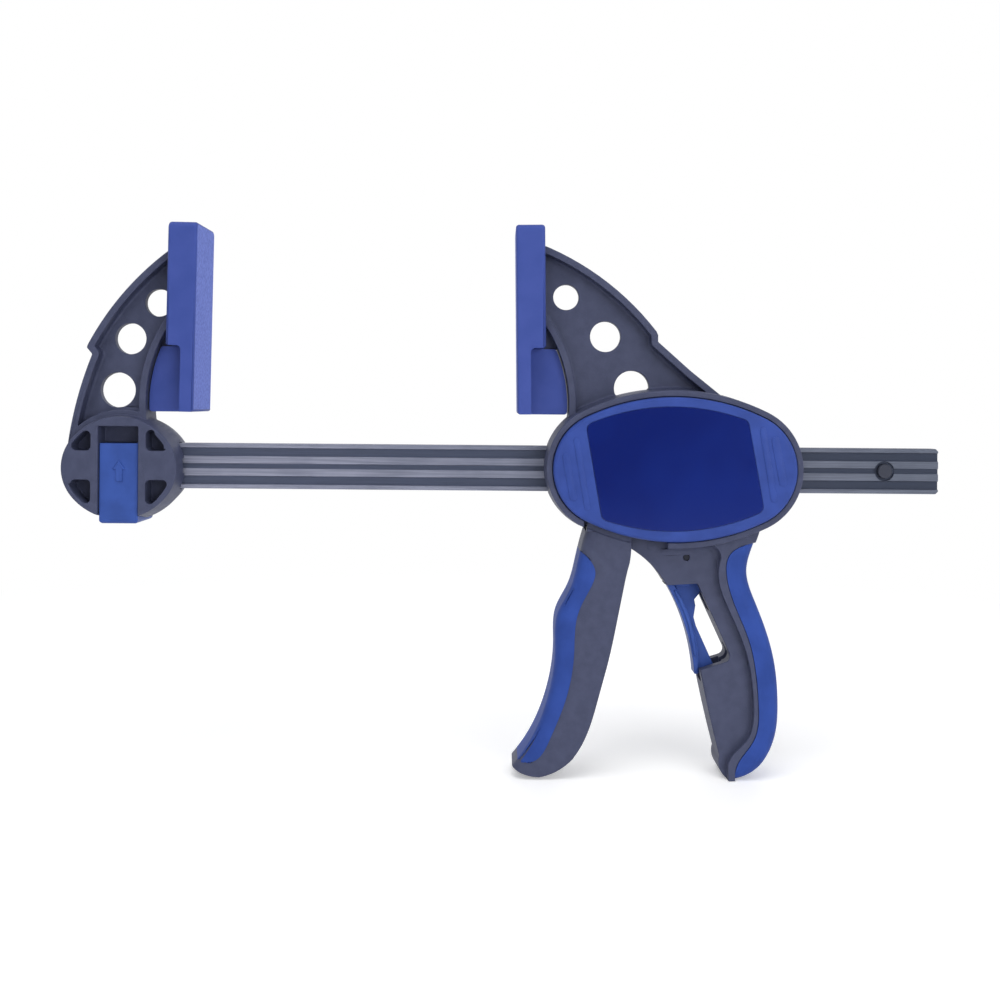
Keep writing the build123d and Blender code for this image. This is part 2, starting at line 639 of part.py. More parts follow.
with BuildPart() as housing:
    with BuildSketch(MOVING.offset(-FLANGE_WIDTH / 2)):
        add(moving_arm())
    extrude(amount=FLANGE_WIDTH)
    for side in (-1, 1):
        with BuildSketch(MOVING.offset(side * WEB_THICK / 2)):
            add(arm_pocket(moving_arm(), Location((BODY_SETBACK, 0)) * oval_face()))
        extrude(amount=side * FLANGE_WIDTH / 2, mode=Mode.SUBTRACT)
    for across, up, radius in MOVING_HOLES:
        with BuildSketch(MOVING.offset(-FLANGE_WIDTH)):
            with Locations((across, up)):
                Circle(radius)
        extrude(amount=2 * FLANGE_WIDTH, mode=Mode.SUBTRACT)
    # Grip: sunk panel, raised border, and the spine under the overmould
    with BuildSketch(BODY.offset(-PANEL_WIDTH / 2)):
        add(grip_outline())
        add(panel_face(), mode=Mode.INTERSECT)
    extrude(amount=PANEL_WIDTH)
    with BuildSketch(BODY.offset(-GRIP_WIDTH / 2)):
        add(grip_outline())
        add(panel_face(), mode=Mode.SUBTRACT)
        add(grip_skin_area(), mode=Mode.SUBTRACT)
    extrude(amount=GRIP_WIDTH)
    with BuildSketch(BODY.offset(-(GRIP_WIDTH / 2 - SKIN_SIDE))):
        add(grip_spine())
    extrude(amount=2 * (GRIP_WIDTH / 2 - SKIN_SIDE))
    with BuildSketch(BODY):
        add(oval_face(grow=OVAL_BULGE))
    extrude(amount=OVAL_WIDTH / 2, both=True, taper=draft(OVAL_BULGE, OVAL_WIDTH))
    # Hollow of the oval, with the covers' rebates
    with BuildSketch(BODY.offset(-OVAL_WIDTH / 2)):
        add(oval_face(grow=-OVAL_RIM - COVER_SEAT))
    extrude(amount=OVAL_WIDTH, mode=Mode.SUBTRACT)
    for side in (-1, 1):
        with BuildSketch(BODY.offset(side * (OVAL_WIDTH / 2 - COVER_INSET))):
            add(oval_face(grow=-OVAL_RIM))
        extrude(amount=side * COVER_INSET, mode=Mode.SUBTRACT)
    # Blocks inside it: the bar's guides, the divider behind the drive spring, the brake's anchor
    with BuildSketch(BODY.offset(-(OVAL_WIDTH / 2 - COVER_INSET))):
        with Locations((GUIDE_LEFT, 0)):
            Rectangle(OVAL_A, 2 * OVAL_B, align=(Align.MAX, Align.CENTER))
        with Locations((GUIDE_RIGHT, 0)):
            Rectangle(OVAL_A, 2 * OVAL_B, align=(Align.MIN, Align.CENTER))
        with Locations((DIVIDER_X, 0)):
            Rectangle(DIVIDER_THICK, 2 * OVAL_B, align=(Align.MIN, Align.CENTER))
        with Locations((DIVIDER_X, BAR_HEIGHT / 2)):
            Rectangle(ANCHOR_RIGHT - DIVIDER_X, OVAL_B, align=(Align.MIN, Align.MIN))
        add(oval_face(grow=-OVAL_RIM - FIT), mode=Mode.INTERSECT)
    extrude(amount=2 * (OVAL_WIDTH / 2 - COVER_INSET))
    with BuildSketch(BODY.offset(-PANEL_WIDTH / 2)):
        with Locations((GUIDE_LEFT, BAR_HEIGHT / 2)):
            Rectangle(PIVOT_BLOCK_X - GUIDE_LEFT, OVAL_B, align=(Align.MIN, Align.MIN))
        add(oval_face(grow=-OVAL_RIM - FIT), mode=Mode.INTERSECT)
    extrude(amount=PANEL_WIDTH)
    # Room for the plates: the brake plate's top rocks in a slot, the drive plate runs under the pin
    with BuildSketch(BODY.offset(-(PLATE_WIDTH / 2 + LOOSE))):
        with Locations((BRAKE_X, BRAKE_TOP + SLIDE_GAP)):
            Rectangle(BRAKE_THICK + 2 * SLIDE_GAP, BRAKE_TOP, align=(Align.CENTER, Align.MAX))
        with Locations((DRIVE_X - SLIDE_GAP, DRIVE_TOP + SLIDE_GAP)):
            Rectangle(DIVIDER_X - DRIVE_X, DRIVE_TOP, align=(Align.MIN, Align.MAX))
    extrude(amount=2 * (PLATE_WIDTH / 2 + LOOSE), mode=Mode.SUBTRACT)
    with BuildSketch(Plane.YZ.offset(BODY_X - 2 * OVAL_A)):
        Rectangle(*BAR_HOLE)
    extrude(amount=4 * OVAL_A, mode=Mode.SUBTRACT)
    # Bay in the oval's rim for the trigger: across the whole body in front of the tongue
    bay_left, bay_top = TRIGGER_BAY
    with BuildSketch(BODY.offset(-OVAL_WIDTH)):
        with Locations((bay_left, -BAR_HEIGHT / 2 - SLIDE_GAP)):
            Rectangle(TONGUE_X - bay_left, OVAL_B, align=(Align.MIN, Align.MAX))
    extrude(amount=2 * OVAL_WIDTH, mode=Mode.SUBTRACT)
    for side in (-1, 1):
        with BuildSketch(BODY.offset(side * PANEL_WIDTH / 2)):
            with Locations((bay_left, -BAR_HEIGHT / 2 - SLIDE_GAP)):
                Rectangle(PANEL_STEP - bay_left, OVAL_B, align=(Align.MIN, Align.MAX))
        extrude(amount=side * OVAL_WIDTH, mode=Mode.SUBTRACT)
    # Release lever: window, slot for its head, slots that take the blade when it is pressed
    with BuildSketch(BODY.offset(-GRIP_WIDTH)):
        add(window_face())
    extrude(amount=2 * GRIP_WIDTH, mode=Mode.SUBTRACT)
    with BuildSketch(BODY.offset(-(RELEASE_WIDTH / 2 + LOOSE))):
        add(mechanism_slot())
        with BuildLine():
            reach, foot = BLADE_SLOT
            Polyline((0, BLADE_SLOT_TOP), (reach, BLADE_SLOT_TOP), (reach, foot), (0, foot), close=True)
        make_face()
    extrude(amount=2 * (RELEASE_WIDTH / 2 + LOOSE), mode=Mode.SUBTRACT)
    with BuildSketch(BODY.offset(-(RELEASE_WEB / 2 + LOOSE))):
        with BuildLine():
            Polyline((0, WEB_SLOT_TOP), (WEB_SLOT_X, WEB_SLOT_TOP), (WEB_SLOT_X, foot), (0, foot), close=True)
        make_face()
    extrude(amount=2 * (RELEASE_WEB / 2 + LOOSE), mode=Mode.SUBTRACT)
    # Pin holes
    with BuildSketch(BODY.offset(-PANEL_WIDTH / 2)):
        with Locations(TRIGGER_PIVOT):
            Circle(TRIGGER_PIN_RADIUS + RUNNING)
        with Locations(RELEASE_PIVOT):
            Circle(RELEASE_PIN_RADIUS + RUNNING)
    extrude(amount=PANEL_WIDTH, mode=Mode.SUBTRACT)
housing.part.label = "housing"

moving_jaw_pad = jaw_pad(MOVING)
moving_jaw_pad.label = "moving_jaw_pad"

with BuildPart() as body_grip:
    with BuildSketch(BODY.offset(-(GRIP_WIDTH / 2 + SKIN_PROUD))):
        add(grip_outline())
        add(grip_skin_area(), mode=Mode.INTERSECT)
    extrude(amount=2 * (GRIP_WIDTH / 2 + SKIN_PROUD))
    long_edges = body_grip.faces().sort_by(Axis.Y)[0].edges() + body_grip.faces().sort_by(Axis.Y)[-1].edges()
    fillet(long_edges.filter_by(lambda e: e.center().X > BODY_X + 34 and e.length > 15), SKIN_EDGE)
    with BuildSketch(BODY.offset(-(GRIP_WIDTH / 2 - SKIN_SIDE))):
        add(grip_spine())
    extrude(amount=2 * (GRIP_WIDTH / 2 - SKIN_SIDE), mode=Mode.SUBTRACT)
body_grip.part.label = "body_grip"

# ---- Covers and badge plates ------------------------------------------------------------------------


def badge_face(grow=0.0):
    """Barrel-shaped badge that leans with its upright sides; seen from the front."""
    with BuildSketch() as sketch:
        with BuildLine():
            top = ThreePointArc((-34.8, 17.6), (-3.5, 24.9), (27.9, 19.7))
            right = Line(top @ 1, (34.3, -15.0))
            foot = ThreePointArc(right @ 1, (2.8, -23.0), (-28.4, -18.7))
            Line(foot @ 1, top @ 0)
        make_face()
        fillet(vertices(), BADGE_CORNER)
        if grow:
            offset(amount=grow, mode=Mode.REPLACE)
    return sketch.sketch


def body_cover(side):
    """Oval cover with a sunk seat for the badge; side is 1 for the front and -1 for the back."""
    inner = OVAL_WIDTH / 2 - COVER_INSET
    badge = badge_face(grow=FIT) if side == 1 else mirror(badge_face(grow=FIT), Plane.YZ)
    with BuildPart() as cover:
        with BuildSketch(BODY.offset(side * inner)):
            add(oval_face(grow=-OVAL_RIM - COVER_GAP))
        extrude(amount=side * COVER_THICK)
        fillet(cover.faces().sort_by(Axis.Y, reverse=side == -1)[0].edges(), COVER_EDGE)
        with BuildSketch(BODY.offset(side * (inner + COVER_THICK - BADGE_DEPTH))):
            add(badge)
        extrude(amount=side * COVER_THICK, mode=Mode.SUBTRACT)
    return cover.part


def body_badge(side):
    """Bare badge plate in the cover's seat."""
    seat = OVAL_WIDTH / 2 - COVER_INSET + COVER_THICK - BADGE_DEPTH
    outline = badge_face() if side == 1 else mirror(badge_face(), Plane.YZ)
    with BuildPart() as badge:
        with BuildSketch(BODY.offset(side * seat)):
            add(outline)
        extrude(amount=side * BADGE_THICK)
    return badge.part


front_cover = body_cover(1)
front_cover.label = "front_cover"
rear_cover = body_cover(-1)
rear_cover.label = "rear_cover"
front_badge = body_badge(1)
front_badge.label = "front_badge"
rear_badge = body_badge(-1)
rear_badge.label = "rear_badge"

# ---- Trigger: a channel open towards the grip, with legs that straddle the bar ----------------------


def trigger_outline():
    """Side view of the lever with its legs."""
    pivot_x, pivot_z = TRIGGER_PIVOT
    with BuildSketch() as sketch:
        with BuildLine():
            front = Spline(
                (-34.0, -23.3),
                (-37.2, -35.7),
                (-40.5, -47.5),
                (-45.2, -57.0),
                (-46.0, -70.0),
                (-48.4, -88.5),
                (-54.5, -104.8),
                (-62.6, -116.6),
            )
            toe = ThreePointArc(front @ 1, (-57.4, -119.3), (-51.8, -120.2))
            heel = ThreePointArc(toe @ 1, (-44.6, -117.6), (-38.8, -113.0))
            back = Spline(
                heel @ 1,
                (-36.4, -109.5),
                (-29.1, -89.9),
                (-24.1, -70.3),
                (-17.6, -38.0),
                (-16.3, -27.0),
                tangents=((0.7, 1.0), (0.05, 1.0)),
            )
            leg_back = Line(back @ 1, (pivot_x + TRIGGER_HUB, pivot_z))
            hub_top = (pivot_x, pivot_z + TRIGGER_HUB)
            hub = ThreePointArc(leg_back @ 1, hub_top, (pivot_x - TRIGGER_HUB, pivot_z))
            Line(hub @ 1, front @ 0)
        make_face()
    return sketch.sketch


def trigger_skin_area():
    """Side view of everything in front of the overmould's edge."""
    with BuildSketch() as sketch:
        with BuildLine():
            edge = Spline(
                (-42.0, -30.6),
                (-33.5, -34.2),
                (-30.6, -39.5),
                (-33.2, -47.6),
                (-37.3, -56.6),
                (-38.6, -72.0),
                (-41.2, -88.0),
                (-47.9, -105.5),
                (-53.7, -113.6),
                (-60.0, -114.0),
                (-66.0, -108.0),
            )
            Polyline(edge @ 1, (-80.0, -108.0), (-80.0, -30.6), edge @ 0)
        make_face()
    return sketch.sketch


def trigger_form(width):
    """The lever with its legs, full across its width, with the long edges of its front rounded."""
    with BuildPart() as form:
        with BuildSketch(BODY.offset(-width / 2)):
            add(trigger_outline())
            with Locations((0, TRIGGER_BAY[1])):
                Rectangle(4 * OVAL_A, 4 * OVAL_A, align=(Align.CENTER, Align.MIN), mode=Mode.SUBTRACT)
        extrude(amount=width)
        sides = form.faces().sort_by(Axis.Y)[0].edges() + form.faces().sort_by(Axis.Y)[-1].edges()
        fillet(sides.filter_by(lambda e: e.center().X < BODY_X - 40 and e.length > 60), SKIN_EDGE)
        with BuildSketch(BODY.offset(-width / 2)):
            add(trigger_outline())
            with Locations((0, TRIGGER_BAY[1])):
                Rectangle(4 * OVAL_A, 4 * OVAL_A, align=(Align.CENTER, Align.MAX), mode=Mode.SUBTRACT)
        extrude(amount=width)
    return form.part


def trigger_core():
    """What the trigger's overmould wraps: its outline moved in from the front."""
    with BuildSketch() as sketch:
        add(trigger_outline())
        add(Location((TRIGGER_SKIN, TRIGGER_SKIN)) * trigger_outline(), mode=Mode.INTERSECT)
        add(trigger_skin_area(), mode=Mode.INTERSECT)
    return sketch.sketch


TRIGGER_INNER = PANEL_WIDTH / 2 + LOOSE
TRIGGER_WIDTH = 2 * (TRIGGER_INNER + TRIGGER_WALL)

with BuildPart() as trigger:
    with BuildSketch(BODY.offset(-TRIGGER_WIDTH / 2)):
        add(trigger_outline())
        add(trigger_skin_area(), mode=Mode.SUBTRACT)
        add(oval_face(grow=-OVAL_RIM + LEDGE_BAND), mode=Mode.SUBTRACT)
    extrude(amount=TRIGGER_WIDTH)
    with BuildSketch(BODY.offset(-(TRIGGER_WIDTH / 2 - TRIGGER_LEDGE))):
        add(trigger_outline())
        add(oval_face(grow=-OVAL_RIM + LEDGE_BAND + FIT), mode=Mode.INTERSECT)
    extrude(amount=2 * (TRIGGER_WIDTH / 2 - TRIGGER_LEDGE))
    with BuildSketch(BODY.offset(-(TRIGGER_WIDTH / 2 - SKIN_SIDE))):
        add(trigger_core())
    extrude(amount=2 * (TRIGGER_WIDTH / 2 - SKIN_SIDE))
    # Hollow of the channel, open towards the grip and between the legs
    with BuildSketch(BODY.offset(-TRIGGER_INNER)):
        add(Location((TRIGGER_FRONT, TRIGGER_FRONT)) * trigger_outline())
        with Locations((0, TRIGGER_BAY[1])):
            Rectangle(4 * OVAL_A, 2 * OVAL_A, align=(Align.CENTER, Align.MIN))
        with BuildLine():
            Polyline((-30, -20), (-32, -100), (-20, -110), (0, -100), (0, -20), close=True)
        make_face()
    extrude(amount=2 * TRIGGER_INNER, mode=Mode.SUBTRACT)
    with BuildSketch(BODY.offset(-(TRIGGER_INNER + FIT))):
        with Locations((TRIGGER_PIVOT[0], TRIGGER_PIVOT[1] - NOSE_DROP)):
            Circle(NOSE_RADIUS)
    extrude(amount=2 * (TRIGGER_INNER + FIT))
    with BuildSketch(BODY.offset(-TRIGGER_WIDTH)):
        with Locations(TRIGGER_PIVOT):
            Circle(TRIGGER_PIN_RADIUS + RUNNING)
    extrude(amount=2 * TRIGGER_WIDTH, mode=Mode.SUBTRACT)
    add(trigger_form(TRIGGER_WIDTH), mode=Mode.INTERSECT)
trigger.part.label = "trigger"

with BuildPart() as trigger_grip:
    with BuildSketch(BODY.offset(-(TRIGGER_WIDTH / 2 + SKIN_PROUD))):
        add(trigger_outline())
        add(trigger_skin_area(), mode=Mode.INTERSECT)
    extrude(amount=2 * (TRIGGER_WIDTH / 2 + SKIN_PROUD))
    add(trigger_form(TRIGGER_WIDTH + 2 * SKIN_PROUD), mode=Mode.INTERSECT)
    with BuildSketch(BODY.offset(-(TRIGGER_WIDTH / 2 - SKIN_SIDE))):
        add(trigger_core())
    extrude(amount=2 * (TRIGGER_WIDTH / 2 - SKIN_SIDE), mode=Mode.SUBTRACT)
trigger_grip.part.label = "trigger_grip"

with BuildPart() as trigger_pin:
    with BuildSketch(BODY.offset(-(OVAL_WIDTH / 2 - COVER_INSET - SLIDE_GAP))):
        with Locations(TRIGGER_PIVOT):
            Circle(TRIGGER_PIN_RADIUS)
    extrude(amount=2 * (OVAL_WIDTH / 2 - COVER_INSET - SLIDE_GAP))
trigger_pin.part.label = "trigger_pin"

# ---- Drive plate and brake plate on the bar, with their springs -------------------------------------

PLATE_HOLE = (BAR_THICK + 2 * LOOSE, BAR_HEIGHT + 2 * LOOSE)

with BuildPart() as drive_plate:
    with BuildSketch(BODY.offset(-PLATE_WIDTH / 2)):
        with Locations((DRIVE_X, DRIVE_FOOT)):
            Rectangle(DRIVE_THICK, DRIVE_TOP - DRIVE_FOOT, align=(Align.MIN, Align.MIN))
    extrude(amount=PLATE_WIDTH)
    with BuildSketch(Plane.YZ.offset(BODY_X + DRIVE_X)):
        Rectangle(*PLATE_HOLE)
    extrude(amount=DRIVE_THICK, mode=Mode.SUBTRACT)
drive_plate.part.label = "drive_plate"

drive_spring = helix_spring(
    (BODY_X + DRIVE_X + DRIVE_THICK, 0, 0), (BODY_X + DIVIDER_X, 0, 0), DRIVE_COIL, DRIVE_WIRE, DRIVE_TURNS
)
drive_spring.label = "drive_spring"

with BuildPart() as brake_plate:
    with BuildSketch(BODY.offset(-PLATE_WIDTH / 2)):
        with Locations((BRAKE_X, BRAKE_TOP)):
            Rectangle(
                BRAKE_THICK, BRAKE_TOP - BRAKE_SHOULDER, rotation=-BRAKE_LEAN, align=(Align.CENTER, Align.MAX)
            )
    extrude(amount=PLATE_WIDTH)
    with BuildSketch(BODY.offset(-BRAKE_TAIL_WIDTH / 2)):
        with Locations((BRAKE_X, BRAKE_TOP)):
            Rectangle(
                BRAKE_THICK, BRAKE_TOP - BRAKE_FOOT, rotation=-BRAKE_LEAN, align=(Align.CENTER, Align.MAX)
            )
    extrude(amount=BRAKE_TAIL_WIDTH)
    with BuildSketch(Plane.YZ.offset(BODY_X)):
        Rectangle(*PLATE_HOLE)
    extrude(amount=OVAL_A, mode=Mode.SUBTRACT)
brake_plate.part.label = "brake_plate"

BRAKE_SPRING_X = BRAKE_X + BRAKE_THICK / 2 - (BRAKE_TOP - BRAKE_SPRING_Z) * sin(radians(BRAKE_LEAN)) + FIT
brake_spring = helix_spring(
    (BODY_X + BRAKE_SPRING_X, 0, BRAKE_SPRING_Z),
    (BODY_X + GUIDE_RIGHT, 0, BRAKE_SPRING_Z),
    BRAKE_COIL,
    BRAKE_WIRE,
    BRAKE_TURNS,
)
brake_spring.label = "brake_spring"

# ---- Release lever: a blade of T section on a hub, with a heel that pushes the brake plate ----------


with BuildPart() as release_lever:
    hub_x, hub_z = RELEASE_PIVOT
    heel_x = brake_face(HEEL_FOOT) - SLIDE_GAP
    with BuildSketch(BODY.offset(-RELEASE_WIDTH / 2)):
        with BuildLine():
            neck = Line((hub_x - RELEASE_HUB, hub_z), blade_front()[0])
            edge = Spline(blade_front())
            tip = Line(edge @ 1, (edge @ 1) + Vector(RELEASE_FLANGE / 2, 0))
            inner = Spline(list(reversed(blade_front(RELEASE_FLANGE)))[1:])
            Line(tip @ 1, inner @ 0)
            Line(inner @ 1, (hub_x + RELEASE_HUB / 2, hub_z))
            Line((hub_x + RELEASE_HUB / 2, hub_z), neck @ 0)
        make_face()
        with Locations(RELEASE_PIVOT):
            Circle(RELEASE_HUB)
        with BuildLine():
            Polyline(
                (hub_x, hub_z - RELEASE_HUB),
                (hub_x + RELEASE_HUB, hub_z),
                (heel_x, HEEL_TOP),
                (heel_x, HEEL_FOOT),
                (heel_x - RELEASE_FLANGE, HEEL_NECK),
                (blade_front(RELEASE_FLANGE)[0][0], HEEL_NECK),
                close=True,
            )
        make_face()
    extrude(amount=RELEASE_WIDTH)
    with BuildSketch(BODY.offset(-RELEASE_WEB / 2)):
        with BuildLine():
            web = Polyline(
                (2.0, -46.0),
                (7.0, -43.0),
                (12.6, -46.6),
                (11.7, -49.5),
                (9.8, -51.8),
                (10.3, -54.2),
                (9.6, -58.9),
                (10.6, -62.4),
                (17.4, -77.2),
                (17.9, -81.0),
                (10.7, -81.0),
                (7.2, -66.0),
            )
            Line(web @ 1, web @ 0)
        make_face()
    extrude(amount=RELEASE_WEB)
    with BuildSketch(BODY.offset(-RELEASE_WIDTH)):
        with Locations(RELEASE_PIVOT):
            Circle(RELEASE_PIN_RADIUS + RUNNING)
    extrude(amount=2 * RELEASE_WIDTH, mode=Mode.SUBTRACT)
release_lever.part.label = "release_lever"

with BuildPart() as release_pin:
    with BuildSketch(BODY.offset(-(PANEL_WIDTH / 2 - RELEASE_PIN_SUNK))):
        with Locations(RELEASE_PIVOT):
            Circle(RELEASE_PIN_RADIUS)
    extrude(amount=2 * (PANEL_WIDTH / 2 - RELEASE_PIN_SUNK))
release_pin.part.label = "release_pin"

# ---- Export -----------------------------------------------------------------------------------------

pieces = [
    bar.part,
    stop_pin.part,
    lock_pin.part,
    fixed_jaw.part,
    fixed_jaw_pad,
    jaw_button.part,
    jaw_button_spring,
    housing.part,
    moving_jaw_pad,
    body_grip.part,
    front_cover,
    rear_cover,
    front_badge,
    rear_badge,
    trigger.part,
    trigger_grip.part,
    trigger_pin.part,
    drive_plate.part,
    drive_spring,
    brake_plate.part,
    brake_spring,
    release_lever.part,
    release_pin.part,
]
for piece in pieces:
    export_step(piece, f"parts/{piece.label}.step")
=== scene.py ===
from math import cos, radians, sin

import bpy
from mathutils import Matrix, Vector


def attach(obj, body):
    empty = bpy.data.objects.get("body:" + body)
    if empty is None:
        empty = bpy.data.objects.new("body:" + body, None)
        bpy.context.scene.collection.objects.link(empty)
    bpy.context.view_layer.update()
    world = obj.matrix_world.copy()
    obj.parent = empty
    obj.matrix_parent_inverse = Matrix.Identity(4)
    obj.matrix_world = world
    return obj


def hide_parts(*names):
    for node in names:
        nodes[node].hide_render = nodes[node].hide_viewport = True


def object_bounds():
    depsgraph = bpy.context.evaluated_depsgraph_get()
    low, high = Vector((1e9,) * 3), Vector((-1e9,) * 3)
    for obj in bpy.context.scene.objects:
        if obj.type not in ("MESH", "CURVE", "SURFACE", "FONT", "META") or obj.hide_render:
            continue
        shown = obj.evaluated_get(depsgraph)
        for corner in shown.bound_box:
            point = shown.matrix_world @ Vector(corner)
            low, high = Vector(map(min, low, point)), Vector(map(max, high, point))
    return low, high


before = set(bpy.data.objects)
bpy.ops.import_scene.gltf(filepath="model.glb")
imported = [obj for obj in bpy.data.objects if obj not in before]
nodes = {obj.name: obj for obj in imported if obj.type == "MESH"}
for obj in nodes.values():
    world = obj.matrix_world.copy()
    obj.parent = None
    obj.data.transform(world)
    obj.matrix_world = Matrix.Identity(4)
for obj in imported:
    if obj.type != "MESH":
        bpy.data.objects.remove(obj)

cad_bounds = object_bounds()
bpy.ops.object.select_all(action="DESELECT")

# ---- Studio --------------------------------------------------------------------------------------
# Plain pale floor that runs on to a white surround, large soft lamps, and a camera square to the clamp's
# front. The floor is the level of the handles' feet.

MM = 0.001
CAMERA_X = 118.9 * MM
CAMERA_Z = 27.0 * MM
CAMERA_DISTANCE = 533 * MM
CAMERA_ROLL = radians(0.463)
LENS = 47.95
FRAME_SHIFT = -0.0997
FLOOR_SIZE = 1.6
FLOOR_GREY = (0.9, 0.9, 0.9, 1)
FLOOR_LIFT = (0.3, 0.3, 0.3, 1)     # light that the floor gives off where it is seen
FLOOR_FADE = (0.15, 0.6)     # distances from the clamp's middle between which the floor turns white
FRONT_LEVEL = 0.08           # brightness of the room in front of the clamp, as it is reflected
FRONT_REACH = (-0.95, -0.2)  # Y of the directions between which it brightens to white
SKY_COLOUR = (0.96, 0.97, 1.0, 1)
SKY_STRENGTH = 0.42
LAMPS = (                    # name, place in metres with X from the camera's, size, power
    ("left_lamp", (-0.5, -1.1, 0.3), 0.8, 1.7),
    ("right_lamp", (0.6, -1.0, 0.1), 0.8, 8),
    ("top_lamp", (-0.2, -0.6, 1.2), 0.9, 8),
    ("back_lamp", (0.3, 1.1, 0.4), 0.8, 5),
)


def math_node(tree, operation, first, second):
    """Math node of two inputs, each of them a socket or a number; gives its output socket."""
    node = tree.nodes.new("ShaderNodeMath")
    node.operation = operation
    for socket, value in zip(node.inputs, (first, second)):
        if isinstance(value, (int, float)):
            socket.default_value = value
        else:
            tree.links.new(value, socket)
    return node.outputs[0]


def seen_directly(tree):
    """1 for rays from the camera and for reflected and refracted ones, 0 for those that carry light."""
    path = tree.nodes.new("ShaderNodeLightPath").outputs
    glossy = math_node(tree, "MAXIMUM", path["Is Glossy Ray"], path["Is Transmission Ray"])
    return math_node(tree, "MAXIMUM", path["Is Camera Ray"], glossy)


def mixed(tree, factor, first, second):
    """Mix of two shaders; gives its output socket."""
    mix = tree.nodes.new("ShaderNodeMixShader")
    tree.links.new(factor, mix.inputs["Fac"])
    tree.links.new(first, mix.inputs[1])
    tree.links.new(second, mix.inputs[2])
    return mix.outputs[0]


floor_level = cad_bounds[0][2]
bpy.ops.mesh.primitive_plane_add(size=FLOOR_SIZE)
floor = bpy.context.object
floor.name = "floor"
for corner in floor.data.vertices:
    corner.co += Vector((CAMERA_X, 0, floor_level))
floor_paint = bpy.data.materials.new("floor_paint")
floor_paint.use_nodes = True
floor.data.materials.append(floor_paint)
tree = floor_paint.node_tree
paint = tree.nodes["Principled BSDF"]
paint.inputs["Base Color"].default_value = FLOOR_GREY
paint.inputs["Roughness"].default_value = 0.9
lift = tree.nodes.new("ShaderNodeEmission")
lift.inputs["Color"].default_value = FLOOR_LIFT
tree.links.new(seen_directly(tree), lift.inputs["Strength"])
lit = tree.nodes.new("ShaderNodeAddShader")
tree.links.new(paint.outputs[0], lit.inputs[0])
tree.links.new(lift.outputs[0], lit.inputs[1])
white = tree.nodes.new("ShaderNodeEmission")
place = tree.nodes.new("ShaderNodeTexCoord").outputs["Object"]
offset = tree.nodes.new("ShaderNodeVectorMath")
offset.operation = "SUBTRACT"
offset.inputs[1].default_value = (CAMERA_X, 0, floor_level)
tree.links.new(place, offset.inputs[0])
reach = tree.nodes.new("ShaderNodeVectorMath")
reach.operation = "LENGTH"
tree.links.new(offset.outputs[0], reach.inputs[0])
fade = tree.nodes.new("ShaderNodeMapRange")
fade.inputs["From Min"].default_value = FLOOR_FADE[0]
fade.inputs["From Max"].default_value = FLOOR_FADE[1]
tree.links.new(reach.outputs["Value"], fade.inputs["Value"])
white_share = math_node(tree, "MULTIPLY", fade.outputs[0], seen_directly(tree))
surface = mixed(tree, white_share, lit.outputs[0], white.outputs[0])
tree.links.new(surface, tree.nodes["Material Output"].inputs["Surface"])

surround = bpy.data.worlds.new("surround")
surround.use_nodes = True
bpy.context.scene.world = surround
tree = surround.node_tree
sky = tree.nodes["Background"]
sky.inputs["Color"].default_value = SKY_COLOUR
sky.inputs["Strength"].default_value = SKY_STRENGTH
white = tree.nodes.new("ShaderNodeBackground")
white.inputs["Color"].default_value = (1, 1, 1, 1)
way = tree.nodes.new("ShaderNodeTexCoord").outputs["Generated"]
split = tree.nodes.new("ShaderNodeSeparateXYZ")
tree.links.new(way, split.inputs[0])
front_dim = tree.nodes.new("ShaderNodeMapRange")
for socket, number in zip(front_dim.inputs[1:5], (*FRONT_REACH, FRONT_LEVEL, 1.0)):
    socket.default_value = number
tree.links.new(split.outputs["Y"], front_dim.inputs["Value"])
camera_ray = tree.nodes.new("ShaderNodeLightPath").outputs["Is Camera Ray"]
tree.links.new(math_node(tree, "MAXIMUM", camera_ray, front_dim.outputs[0]), white.inputs["Strength"])
surface = mixed(tree, seen_directly(tree), sky.outputs[0], white.outputs[0])
tree.links.new(surface, tree.nodes["World Output"].inputs["Surface"])


def soft_lamp(name, place, size, power):
    """Square soft lamp that points at the middle of the clamp."""
    light = bpy.data.lights.new(name, "AREA")
    light.size = size
    light.energy = power
    lamp = bpy.data.objects.new(name, light)
    bpy.context.scene.collection.objects.link(lamp)
    lamp.location = place
    aim = Vector((CAMERA_X, 0, CAMERA_Z)) - Vector(place)
    lamp.rotation_euler = aim.to_track_quat("-Z", "Y").to_euler()
    lamp.visible_glossy = False


for name, (aside, behind, above), size, power in LAMPS:
    soft_lamp(name, (CAMERA_X + aside, behind, above), size, power)

camera_data = bpy.data.cameras.new("camera")
camera_data.lens = LENS
camera_data.shift_y = FRAME_SHIFT
camera = bpy.data.objects.new("camera", camera_data)
bpy.context.scene.collection.objects.link(camera)
camera.location = (CAMERA_X, -CAMERA_DISTANCE, CAMERA_Z)
camera.rotation_euler = (radians(90), -CAMERA_ROLL, 0)
bpy.context.scene.camera = camera
bpy.context.scene.view_settings.view_transform = "Standard"
